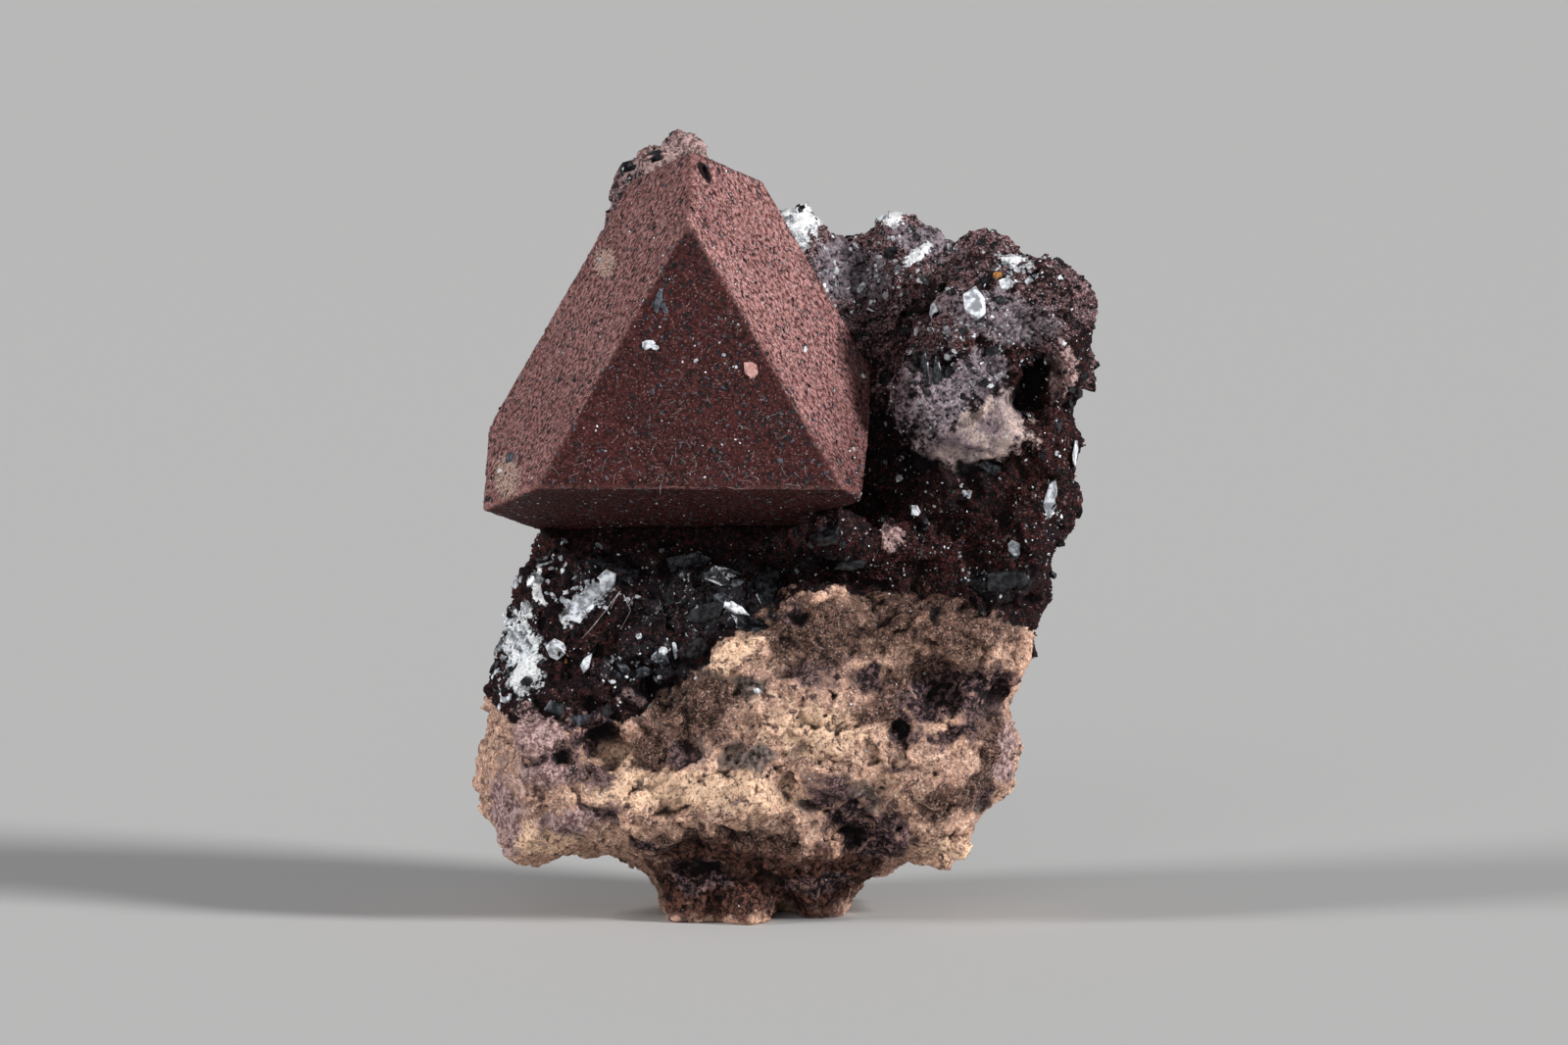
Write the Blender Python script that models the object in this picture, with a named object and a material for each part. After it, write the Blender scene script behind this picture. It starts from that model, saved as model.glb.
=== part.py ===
"""A zunyite specimen: one large brick-red crystal seated on a block of altered volcanic rock.

The crystal is a regular tetrahedron whose four corners are cut off, which is how zunyite grows.
The rock stands on a small flat foot. Its skin carries plates of hematite, fused to it.

Everything is modelled in millimetres: X to the right, Y away from the viewer, Z up, with the
crystal's back face at Y = 0 and the foot at Z = 0. The last step scales it to metres and puts
the origin under the middle of the specimen.
"""

import math
import random

import bmesh
import bpy
from mathutils import Euler, Matrix, Vector, noise
from mathutils.bvhtree import BVHTree

MM = 0.001

# The crystal: the tetrahedron's edge, and the side of the triangle left by each corner's cut.
TETRA_EDGE = 20.5
CORNER_CUTS = {"front": 11.4, "top": 5.0, "left": 4.7, "right": 7.3}
CRYSTAL_BACK = Vector((-3.45, 0.0, 20.28))  # the middle of the tetrahedron's back face
CRYSTAL_TURN = (math.radians(1.8), 0.0, math.radians(-1.6))
WORN_EDGE = 0.09  # width of the worn bevel along each edge
SEAT_GAP = 0.3  # clearance between the crystal and its seat in the rock

# The slot left in the right-hand face by a plate of hematite that fell out.
SLOT_AT = (-3.02, 28.2)  # X and Z
SLOT_SIZE = (0.24, 0.9, 0.9)  # width, depth into the face, length
SLOT_LEAN = math.radians(-28)

# The rock. Each outline is seen from the front, as X and Z, going round from its upper left.
LOWER_BLOCK = (
    (-9.0, 15.0), (-9.3, 14.2), (-9.8, 13.2), (-10.2, 12.3), (-10.4, 11.1), (-10.9, 10.0),
    (-11.2, 9.0), (-11.3, 8.0), (-11.6, 6.5), (-11.8, 5.0), (-11.7, 3.8), (-11.4, 2.7),
    (-10.7, 2.0), (-9.8, 1.8), (-8.6, 2.1), (-7.5, 2.3), (-6.4, 2.1), (-5.4, 1.4),
    (-4.6, 0.4), (-4.1, -0.6), (-0.9, -0.6), (-0.6, 0.4), (0.2, 0.5), (0.6, -0.6),
    (1.6, -0.6), (2.1, 0.4), (2.8, 1.0), (3.8, 1.5), (4.7, 2.1), (5.4, 1.9),
    (5.8, 1.6), (6.2, 1.9), (6.8, 3.1), (7.4, 4.0), (8.2, 4.7), (8.7, 5.9),
    (8.5, 6.8), (8.1, 7.4), (8.2, 8.4), (8.9, 9.3), (9.3, 10.1), (9.5, 11.6),
    (9.7, 12.8), (9.9, 14.1), (10.2, 14.8), (9.4, 16.4), (4.0, 16.2), (-3.0, 15.6),
)
CLAY_FACE = (
    (-10.6, 7.2), (-10.9, 5.4), (-10.9, 3.6), (-9.9, 2.7), (-7.8, 3.0), (-6.2, 2.9),
    (-4.8, 2.3), (-3.2, 2.9), (-1.2, 2.3), (0.6, 2.0), (2.2, 2.3), (3.4, 2.8),
    (4.8, 2.7), (6.0, 2.4), (6.8, 3.8), (7.8, 5.0), (8.3, 6.2), (7.8, 7.6),
    (8.0, 8.8), (8.8, 10.2), (8.6, 11.3), (7.2, 11.8), (5.4, 12.2), (3.8, 11.9),
    (2.6, 12.6), (1.2, 12.9), (0.0, 12.3), (-1.2, 11.4), (-2.4, 10.4), (-3.8, 9.3),
    (-5.2, 8.3), (-7.0, 7.9), (-8.4, 8.3), (-9.7, 8.2),
)
TOWER = (
    (3.4, 20.5), (3.6, 19.5), (3.8, 18.4), (4.1, 17.3), (3.6, 16.2), (3.3, 14.4),
    (3.4, 12.5), (9.6, 12.5), (9.9, 13.9), (10.6, 15.2), (10.8, 16.2), (10.9, 17.3),
    (10.5, 18.6), (10.6, 19.3), (11.1, 20.0), (11.4, 20.9), (11.1, 21.9), (11.6, 22.6),
    (11.8, 23.5), (11.5, 24.3), (10.6, 24.8), (9.8, 25.0), (8.8, 24.9), (7.6, 25.2),
    (6.4, 24.8), (5.4, 24.1), (4.9, 23.0), (4.4, 21.9), (3.8, 21.2),
)
REAR_RIDGE = (
    (-8.6, 13.0), (9.4, 13.0), (10.2, 16.0), (10.4, 20.0), (10.3, 23.0), (9.9, 24.6),
    (9.2, 25.3), (8.2, 25.8), (7.4, 25.8), (6.5, 25.4), (5.8, 25.6), (5.2, 26.0),
    (4.6, 26.4), (3.9, 26.8), (3.3, 26.2), (2.6, 25.7), (1.6, 25.5), (1.1, 25.8),
    (0.8, 26.5), (0.2, 26.8), (-0.6, 26.5), (-1.6, 26.8), (-2.4, 27.6), (-2.7, 28.7),
    (-3.3, 29.9), (-3.9, 30.2), (-4.5, 29.9), (-5.4, 29.0), (-6.2, 28.7), (-6.7, 28.5),
    (-6.7, 27.4), (-7.3, 25.4), (-8.2, 24.0), (-8.5, 20.0),
)

# How each outline runs back through the rock: Y, then its width and height as shares, and the
# point that it narrows towards.
LOFTS = (
    (LOWER_BLOCK, (-1.0, 5.4), (
        (-3.6, 0.84, 0.50), (-3.0, 0.93, 0.68), (-1.8, 0.98, 0.86), (-0.4, 1.0, 0.97),
        (1.2, 1.0, 1.0), (3.6, 0.97, 1.0), (5.4, 0.88, 0.93), (6.8, 0.68, 0.78),
    )),
    (CLAY_FACE, (-0.6, 6.4), (
        (-4.9, 0.70, 0.60), (-4.4, 0.88, 0.84), (-3.6, 0.97, 0.96), (-2.0, 1.0, 1.0),
        (0.0, 0.98, 0.98),
    )),
    (TOWER, (7.6, 18.6), (
        (-3.3, 0.62, 0.72), (-2.7, 0.84, 0.88), (-1.6, 0.96, 0.97), (0.2, 1.0, 1.0),
        (3.0, 0.97, 0.98), (5.0, 0.84, 0.9), (6.4, 0.62, 0.74),
    )),
    (REAR_RIDGE, (0.6, 13.0), (
        (-0.8, 0.90, 0.55), (0.2, 0.95, 0.72), (1.2, 0.98, 0.88), (2.4, 1.0, 1.0),
        (4.2, 0.99, 1.0), (5.6, 0.90, 0.88), (7.0, 0.72, 0.64),
    )),
)

# Swellings of the rock: centre, radii and lean about Y in degrees.
LUMPS = {
    "left lobe": ((-10.0, -1.4, 3.7), (1.5, 2.6, 1.8), 0),
    "pink knob": ((-9.5, -4.1, 7.0), (1.0, 1.3, 1.3), 0),
    "knob foot": ((-8.9, -4.2, 5.2), (1.6, 1.2, 1.2), 20),
    "clay left": ((-6.6, -4.2, 4.5), (2.2, 1.2, 1.3), -10),
    "clay middle": ((-2.8, -4.6, 5.2), (2.8, 1.0, 1.5), -14),
    "clay pyramid": ((-1.0, -5.3, 5.2), (0.8, 0.8, 1.1), 0),
    "clay ridge": ((-1.6, -4.3, 10.2), (3.1, 1.1, 0.8), 38),
    "clay crown": ((1.1, -4.2, 12.1), (1.5, 1.1, 0.9), 0),
    "clay face": ((1.6, -4.8, 7.0), (3.4, 0.8, 2.2), 8),
    "right slab": ((5.6, -4.0, 11.0), (2.6, 1.4, 1.0), 0),
    "right swell": ((4.8, -4.5, 5.9), (2.2, 1.1, 1.1), -8),
    "right wedge": ((5.8, -3.5, 3.9), (1.2, 1.5, 1.7), 15),
    "right rim": ((8.0, -1.2, 6.0), (0.9, 1.8, 1.4), 0),
    "foot left": ((-3.8, -1.6, 0.7), (1.2, 1.8, 1.5), 0),
    "foot middle": ((-1.5, -2.2, 0.5), (1.0, 1.7, 1.4), 0),
    "foot right": ((1.1, 0.2, 0.8), (1.4, 2.3, 1.5), 0),
    "foot back": ((-1.0, 3.2, 0.6), (3.2, 1.9, 1.7), 0),
    "shelf": ((-5.6, -2.2, 10.4), (3.3, 1.5, 1.2), 24),
    "shelf step": ((-7.2, -3.1, 8.9), (1.8, 1.2, 0.8), 12),
    "shelf edge": ((-9.3, -1.2, 11.6), (1.1, 1.7, 2.0), 15),
    "black boss": ((-2.2, -2.4, 12.6), (2.0, 1.3, 1.2), 10),
    "corner lump": ((1.9, -4.0, 14.6), (1.2, 1.3, 1.0), 0),
    "crumb heap": ((3.8, -2.6, 14.3), (1.1, 1.1, 0.9), 0),
    "band right": ((8.4, -2.0, 14.3), (1.7, 1.5, 1.3), 0),
    "tower crown": ((9.4, -1.9, 23.4), (2.0, 2.0, 1.6), 0),
    "tower brow": ((7.0, -2.5, 22.7), (1.9, 1.6, 1.8), 0),
    "tower shoulder": ((10.4, -1.0, 21.4), (1.0, 1.8, 1.8), 0),
    "lilac lump": ((5.0, -3.0, 19.8), (1.4, 1.3, 1.5), 10),
    "pale ledge": ((7.3, -3.3, 18.3), (1.8, 1.3, 0.7), 10),
    "silver rim": ((10.0, -1.2, 15.8), (0.9, 1.5, 1.5), 0),
    "peak": ((-4.2, 3.4, 28.9), (1.2, 1.5, 1.2), 35),
    "white knoll": ((0.4, 3.0, 26.0), (0.8, 1.2, 0.8), 0),
    "silver knoll": ((3.9, 3.2, 26.0), (0.7, 1.1, 0.7), 0),
    "back swell": ((-4.0, 5.6, 10.0), (3.8, 1.6, 2.9), 25),
    "back shoulder": ((5.2, 5.2, 11.0), (3.0, 1.6, 2.4), -25),
    "back knob": ((1.6, 5.9, 18.6), (2.8, 1.3, 2.2), 30),
    "back shelf": ((7.4, 4.6, 19.6), (2.0, 1.5, 1.2), 0),
    "back foot": ((3.4, 4.2, 3.6), (2.2, 1.6, 1.3), 15),
}

# Hollows in the rock, in the same form.
PITS = {
    "left vug": ((-6.6, -5.2, 6.9), (1.6, 1.9, 0.8), -8),
    "vug arm": ((-5.2, -5.0, 7.8), (0.9, 1.3, 0.6), 40),
    "knob hole": ((-8.5, -5.3, 6.5), (0.5, 1.0, 0.4), 0),
    "right vug": ((5.6, -5.2, 8.9), (0.9, 1.6, 1.0), 0),
    "vug side": ((4.1, -5.4, 7.6), (0.6, 1.0, 0.5), 0),
    "low slit": ((6.3, -5.0, 7.5), (0.7, 1.0, 0.35), -15),
    "rim vug": ((7.8, -3.2, 8.5), (0.5, 1.3, 0.8), 0),
    "clay cleft": ((1.2, -5.6, 10.6), (0.5, 0.8, 0.9), 20),
    "dark hollow": ((2.5, -4.9, 3.4), (1.2, 1.4, 0.9), -25),
    "foot hollow": ((-3.2, -4.4, 2.0), (1.5, 1.5, 0.6), 0),
    "foot notch": ((0.0, -1.2, 0.2), (0.5, 1.6, 0.7), 0),
    "square hole": ((5.6, -5.3, 11.6), (0.3, 0.8, 0.5), 0),
    "step hollow": ((-4.7, -3.8, 9.0), (1.1, 0.9, 0.5), 25),
    "shelf hollow": ((-6.3, -3.4, 13.2), (1.4, 1.2, 0.8), 10),
    "black hollow": ((0.2, -3.9, 14.0), (1.0, 1.2, 0.7), 0),
    "band hollow": ((6.0, -3.6, 14.9), (1.4, 1.2, 0.7), 0),
    "side vug": ((9.2, -3.2, 20.2), (1.0, 1.9, 1.2), -15),
    "recess": ((4.6, -4.2, 17.5), (1.5, 1.7, 0.5), 0),
    "recess foot": ((3.8, -3.6, 16.4), (0.7, 1.7, 0.7), 0),
    "ledge shadow": ((7.3, -4.3, 17.0), (1.9, 1.2, 0.4), 0),
    "brow cleft": ((5.2, -4.1, 21.3), (0.35, 1.0, 1.2), 0),
    "valley": ((2.6, 0.6, 24.6), (1.6, 1.7, 2.4), -15),
    "back vug": ((-6.0, 7.0, 14.4), (1.4, 1.6, 0.9), 25),
    "back notch": ((1.2, 7.0, 7.0), (1.9, 1.7, 0.8), -25),
    "back hole": ((5.2, 6.8, 21.0), (0.9, 1.5, 1.2), 0),
    "back dimple": ((-2.6, 7.0, 22.0), (1.2, 1.4, 0.8), 0),
    "side notch": ((-9.6, 3.6, 9.4), (1.1, 1.6, 0.7), 10),
    "side dent": ((10.6, 2.6, 12.6), (1.0, 1.6, 0.8), 0),
}

# The broken faces of the back and sides: a point on each, and the way that it faces.
FRACTURES = (
    ((0.0, 6.2, 13.0), (-0.10, 1.0, 0.05)),
    ((0.0, 5.2, 22.0), (0.06, 1.0, 0.42)),
    ((0.0, 4.9, 5.0), (0.12, 1.0, -0.46)),
    ((9.3, 4.2, 14.0), (1.0, 0.85, 0.06)),
    ((9.6, 2.6, 23.0), (1.0, 0.6, 0.5)),
    ((-9.3, 4.0, 9.0), (-1.0, 0.9, -0.1)),
    ((-7.6, 4.0, 20.0), (-1.0, 0.7, 0.25)),
    ((-8.8, 2.8, 3.4), (-0.8, 0.5, -0.8)),
    ((6.6, 3.0, 3.4), (0.9, 0.5, -0.7)),
)

# Hematite plates large enough to see as shapes: X, Z, width, and the side of the rock they are on.
FRONT, BACK = -1, 1
PLATES = (
    (-10.5, 9.6, 1.0, FRONT), (-9.9, 10.9, 0.9, FRONT), (-9.4, 12.0, 0.9, FRONT),
    (-8.2, 12.6, 1.1, FRONT), (-7.2, 13.0, 1.0, FRONT), (-8.6, 8.5, 1.0, FRONT),
    (-6.4, 9.6, 1.1, FRONT), (-5.3, 10.1, 1.3, FRONT), (-4.2, 10.7, 1.4, FRONT),
    (-5.0, 11.9, 1.1, FRONT), (-3.2, 12.4, 1.2, FRONT), (-1.7, 12.6, 1.3, FRONT),
    (-0.4, 13.0, 1.0, FRONT), (8.5, 12.8, 1.5, FRONT), (7.0, 22.9, 0.8, FRONT),
    (5.6, 22.0, 0.7, FRONT), (9.8, 15.9, 0.9, FRONT), (4.0, 26.0, 0.9, FRONT),
    (0.4, 25.9, 0.9, FRONT), (8.2, 24.8, 0.8, FRONT), (7.9, 14.0, 0.7, FRONT),
    (-6.0, 17.0, 1.3, BACK), (-5.0, 18.2, 1.1, BACK), (-4.4, 16.6, 1.0, BACK),
    (2.4, 14.4, 1.2, BACK), (3.6, 15.6, 1.0, BACK), (6.8, 17.4, 1.2, BACK),
    (-2.2, 24.6, 1.0, BACK), (-7.6, 7.4, 1.1, BACK), (1.4, 9.8, 0.9, BACK),
)
PLATE_THICKNESS = 0.3  # as a share of its width

# How finely the rock is modelled.
SKIN = 0.36  # size of the cells that fuse the rock's parts into one skin
ROCK_TRIANGLES = 7800
ROUGHNESS = ((0.30, 2.4), (0.16, 1.1))  # heights of bumps, and the distances between them


def new_object(name, mesh):
    found = bpy.data.objects.new(name, mesh)
    bpy.context.scene.collection.objects.link(found)
    return found


def mesh_of(name, shape):
    """The bmesh as a mesh, and frees it."""
    bmesh.ops.recalc_face_normals(shape, faces=shape.faces)
    mesh = bpy.data.meshes.new(name)
    shape.to_mesh(mesh)
    shape.free()
    return mesh


def apply_modifiers(thing):
    graph = bpy.context.evaluated_depsgraph_get()
    made = bpy.data.meshes.new_from_object(thing.evaluated_get(graph))
    thing.modifiers.clear()
    thing.data = made


def remesh(thing, cell, smoothing):
    """Fuses everything in the mesh into one closed skin, and eases its corners."""
    fuse = thing.modifiers.new("fuse", "REMESH")
    fuse.mode = "VOXEL"
    fuse.voxel_size = cell
    ease = thing.modifiers.new("ease", "SMOOTH")
    ease.factor = 0.5
    ease.iterations = smoothing
    apply_modifiers(thing)


def boolean(thing, other, operation):
    cut = thing.modifiers.new(operation.lower(), "BOOLEAN")
    cut.operation = operation
    cut.object = other
    cut.solver = "EXACT"
    cut.use_self = True
    apply_modifiers(thing)
    bpy.data.objects.remove(other)


def trim(shape, point, facing):
    """Cuts off what lies beyond a plane, and closes the cut."""
    everything = shape.verts[:] + shape.edges[:] + shape.faces[:]
    bmesh.ops.bisect_plane(shape, geom=everything, plane_co=point, plane_no=facing, clear_outer=True)
    rim = [edge for edge in shape.edges if edge.is_boundary]
    bmesh.ops.holes_fill(shape, edges=rim)


def trim_mesh(thing, planes):
    shape = bmesh.new()
    shape.from_mesh(thing.data)
    for point, facing in planes:
        trim(shape, point, facing)
    bmesh.ops.recalc_face_normals(shape, faces=shape.faces)
    bmesh.ops.triangulate(shape, faces=[face for face in shape.faces if len(face.verts) > 3])
    shape.to_mesh(thing.data)
    shape.free()


# The crystal


def crystal_planes(margin):
    """The crystal's eight faces, each pushed out by margin, as (point, outward normal)."""
    height = TETRA_EDGE * math.sqrt(2 / 3)
    middle = Vector((0, -height / 4, 0))
    sides = {"front": Vector((0, 1, 0))}
    for corner, opposite in (("top", -90), ("left", 30), ("right", 150)):
        turn = math.radians(opposite)
        across = math.sqrt(8) / 3
        sides[corner] = Vector((across * math.cos(turn), -1 / 3, across * math.sin(turn)))
    planes = []
    for corner, normal in sides.items():
        cut = CORNER_CUTS[corner] * math.sqrt(2 / 3)
        planes.append((middle + normal * (height / 4 + margin), normal))
        planes.append((middle - normal * (height * 3 / 4 - cut + margin), -normal))
    return planes


def crystal_solid(name, margin=0.0):
    """A cube trimmed by each of the crystal's planes in turn, in place on the specimen."""
    shape = bmesh.new()
    bmesh.ops.create_cube(shape, size=3 * TETRA_EDGE)
    for point, normal in crystal_planes(margin):
        trim(shape, point, normal)
    shape.transform(Matrix.Translation(CRYSTAL_BACK) @ Euler(CRYSTAL_TURN).to_matrix().to_4x4())
    return new_object(name, mesh_of(name, shape))


def face_point(thing, x, z, side=FRONT):
    """Where a line along Y through (x, z) first meets the thing from that side, with its normal."""
    tree = BVHTree.FromObject(thing, bpy.context.evaluated_depsgraph_get())
    far = 4 * TETRA_EDGE
    point, normal, _, _ = tree.ray_cast(Vector((x, side * far, z)), Vector((0, -side, 0)))
    return point, normal


def build_crystal():
    crystal = crystal_solid("zunyite_crystal")
    slot_at, outward = face_point(crystal, *SLOT_AT)
    worn = crystal.modifiers.new("worn edges", "BEVEL")
    worn.width = WORN_EDGE
    worn.segments = 1
    apply_modifiers(crystal)

    shape = bmesh.new()
    bmesh.ops.create_cube(shape, size=1)
    shape.transform(Matrix.Diagonal((*SLOT_SIZE, 1)))
    aim = outward.to_track_quat("Y", "Z").to_matrix().to_4x4()
    lean = Matrix.Rotation(SLOT_LEAN, 4, "Y")
    shape.transform(Matrix.Translation(slot_at) @ aim @ lean)
    boolean(crystal, new_object("slot cutter", mesh_of("slot cutter", shape)), "DIFFERENCE")
    return crystal


# The rock


def add_loft(shape, outline, depths, pivot):
    """Skins the outline through each depth, and closes its front and back."""
    rings = []
    for y, width, height in depths:
        ring = []
        for x, z in outline:
            at = (pivot[0] + (x - pivot[0]) * width, y, pivot[1] + (z - pivot[1]) * height)
            ring.append(shape.verts.new(at))
        rings.append(ring)
    count = len(outline)
    for ring, following in zip(rings, rings[1:]):
        for i in range(count):
            j = (i + 1) % count
            shape.faces.new((ring[i], ring[j], following[j], following[i]))
    caps = [shape.faces.new(rings[0]), shape.faces.new(rings[-1])]
    bmesh.ops.triangulate(shape, faces=caps)


def add_ellipsoid(shape, centre, radii, lean):
    place = (
        Matrix.Translation(centre)
        @ Matrix.Rotation(math.radians(-lean), 4, "Y")
        @ Matrix.Diagonal((*radii, 1))
    )
    bmesh.ops.create_icosphere(shape, subdivisions=3, radius=1, matrix=place)


def roughen(mesh, height, spacing, seed):
    """Moves each vertex along its normal by ridged noise, as much out as in."""
    shift = Vector((17.3, 5.1, 9.7)) * (seed + 1)
    crags = [
        noise.ridged_multi_fractal(vertex.co / spacing + shift, 1.0, 2.1, 3, 1.0, 2.0)
        for vertex in mesh.vertices
    ]
    middle = sum(crags) / len(crags)
    moves = [vertex.normal * (height * (crag - middle)) for vertex, crag in zip(mesh.vertices, crags)]
    for vertex, move in zip(mesh.vertices, moves):
        vertex.co += move


def keep_largest(thing):
    """Drops the crumbs that a cut leaves loose."""
    shape = bmesh.new()
    shape.from_mesh(thing.data)
    unseen = set(shape.verts)
    islands = []
    while unseen:
        edge_of_island = [unseen.pop()]
        island = set(edge_of_island)
        while edge_of_island:
            for edge in edge_of_island.pop().link_edges:
                for vertex in edge.verts:
                    if vertex in unseen:
                        unseen.remove(vertex)
                        island.add(vertex)
                        edge_of_island.append(vertex)
        islands.append(island)
    islands.sort(key=len)
    for island in islands[:-1]:
        bmesh.ops.delete(shape, geom=list(island), context="VERTS")
    shape.to_mesh(thing.data)
    shape.free()


def plate_cluster(rock):
    """The hematite plates: six-sided, each sunk by part of its width into the rock's face."""
    draw = random.Random(7)
    shape = bmesh.new()
    for x, z, width, side in PLATES:
        at, outward = face_point(rock, x, z, side)
        tilt = Vector([draw.uniform(-1, 1) for _ in range(3)])
        facing = (outward + 0.6 * tilt).normalized().to_track_quat("Z", "Y").to_matrix().to_4x4()
        stretch = draw.uniform(0.7, 1.0)
        size = Matrix.Diagonal((width, width * stretch, width * PLATE_THICKNESS, 1))
        turn = Matrix.Rotation(draw.uniform(0, math.pi), 4, "Z")
        bmesh.ops.create_cone(
            shape,
            cap_ends=True,
            segments=6,
            radius1=0.62,
            radius2=0.5,
            depth=1,
            matrix=Matrix.Translation(at) @ facing @ size @ turn,
        )
    return new_object("plates", mesh_of("plates", shape))


def build_rock():
    shape = bmesh.new()
    for outline, narrowing, depths in LOFTS:
        add_loft(shape, outline, depths, narrowing)
    for centre, radii, lean in LUMPS.values():
        add_ellipsoid(shape, centre, radii, lean)
    rock = new_object("matrix_rock", mesh_of("matrix_rock", shape))
    remesh(rock, SKIN, 2)
    trim_mesh(rock, FRACTURES)

    shape = bmesh.new()
    for centre, radii, lean in PITS.values():
        add_ellipsoid(shape, centre, radii, lean)
    boolean(rock, new_object("pit cutter", mesh_of("pit cutter", shape)), "DIFFERENCE")
    remesh(rock, SKIN, 1)
    for seed, (height, spacing) in enumerate(ROUGHNESS):
        roughen(rock.data, height, spacing, seed)

    thin = rock.modifiers.new("thin", "DECIMATE")
    thin.ratio = ROCK_TRIANGLES / (2 * len(rock.data.polygons))
    apply_modifiers(rock)
    boolean(rock, plate_cluster(rock), "UNION")
    boolean(rock, crystal_solid("seat cutter", SEAT_GAP), "DIFFERENCE")
    trim_mesh(rock, [((0, 0, 0), (0, 0, -1))])
    keep_largest(rock)
    return rock


# Finishing


def paint(thing, name, colour, roughness, metallic):
    material = bpy.data.materials.new(name)
    material.use_nodes = True
    shader = material.node_tree.nodes["Principled BSDF"]
    shader.inputs["Base Color"].default_value = (*colour, 1)
    shader.inputs["Roughness"].default_value = roughness
    shader.inputs["Metallic"].default_value = metallic
    thing.data.materials.clear()
    thing.data.materials.append(material)


def set_in_metres(things):
    """Scales to metres, with the origin at floor level under the middle of the specimen."""
    points = [vertex.co for thing in things for vertex in thing.data.vertices]
    middle = [(min(p[i] for p in points) + max(p[i] for p in points)) / 2 for i in (0, 1)]
    move = Matrix.Scale(MM, 4) @ Matrix.Translation((-middle[0], -middle[1], 0))
    for thing in things:
        thing.data.transform(move)


def main():
    for thing in list(bpy.data.objects):
        bpy.data.objects.remove(thing)
    crystal = build_crystal()
    rock = build_rock()
    paint(crystal, "zunyite", (0.21, 0.06, 0.045), 0.75, 0.0)
    paint(rock, "altered rock", (0.19, 0.12, 0.10), 0.85, 0.0)
    set_in_metres([crystal, rock])


main()
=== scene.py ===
"""The looks of a zunyite specimen: a brick-red crystal on altered volcanic rock with hematite.

Lengths are in millimetres: X to the right, Y away from the viewer, Z up, with the origin on the
floor under the specimen's middle. They turn to metres as meshes are made.
"""

from itertools import product
from math import cos, pi, radians, sin, tau

import bmesh
import bpy
import numpy as np
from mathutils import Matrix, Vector
from mathutils.bvhtree import BVHTree
from numpy.linalg import norm

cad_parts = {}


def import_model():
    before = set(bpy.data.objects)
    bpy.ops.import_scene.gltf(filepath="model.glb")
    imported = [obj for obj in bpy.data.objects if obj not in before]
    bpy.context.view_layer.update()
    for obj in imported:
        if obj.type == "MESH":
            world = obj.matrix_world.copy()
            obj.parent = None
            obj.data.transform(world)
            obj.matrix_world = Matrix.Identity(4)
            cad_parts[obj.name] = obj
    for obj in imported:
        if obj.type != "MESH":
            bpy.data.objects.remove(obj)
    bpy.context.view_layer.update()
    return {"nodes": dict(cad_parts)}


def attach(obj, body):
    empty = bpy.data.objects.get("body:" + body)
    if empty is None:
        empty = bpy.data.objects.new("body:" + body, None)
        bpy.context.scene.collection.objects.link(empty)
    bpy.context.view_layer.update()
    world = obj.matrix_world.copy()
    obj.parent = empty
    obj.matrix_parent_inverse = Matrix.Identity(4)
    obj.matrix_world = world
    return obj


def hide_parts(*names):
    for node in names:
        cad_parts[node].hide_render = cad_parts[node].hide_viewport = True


MM = 0.001
BODY = "root"

# The view: its angle above the horizon, its distance, and the lens and sensor.
VIEW_TARGET = (-0.06, 0.13, 14.86)
VIEW_ELEVATION = radians(5)
VIEW_DISTANCE = 300
LENS = 182.25
SENSOR = 36

# Soft studio lights: the way to each one, its strength and its width in degrees.
LIGHTS = {
    "key": ((0.84, -0.36, 0.42), 3.4, 14),
    "left": ((-0.86, -0.3, 0.4), 1.9, 16),
    "front": ((-0.15, -0.95, 0.35), 0.55, 40),
}
WORLD_COLOUR = (0.8, 0.82, 0.85)
WORLD_STRENGTH = 0.16
FLOOR_RADIUS = 4000
FLOOR_COLOUR = (0.56, 0.555, 0.55)

# The meshes: their spacing, and how often the rock's is eased.
CRYSTAL_CELL = 0.22
ROCK_CELL = 0.112
ROCK_EASING = 14
ROCK_CUT = 12.6  # the height at which its skin is cut in two
SEAT_REACH = 0.75  # how near the crystal the rock is drawn onto it
SEAT_DEPTH = 0.12  # how far it goes into the crystal there

# Where the tan clay ends above, as X and Z along its upper edge, left to right.
CLAY_EDGE = (
    (-12, 8.3), (-10.4, 7.7), (-9.2, 8), (-8, 7.4), (-6.6, 7.7), (-5.4, 8), (-4.4, 9), (-3.2, 10),
    (-2, 11), (-1, 12), (0.2, 12.7), (1.8, 12.9), (3.4, 12.5), (5, 12.6), (6.5, 12.3), (8, 11.8),
    (9.4, 10.8), (12, 10.2),
)
CLAY_EDGE_BEHIND = 9

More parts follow.
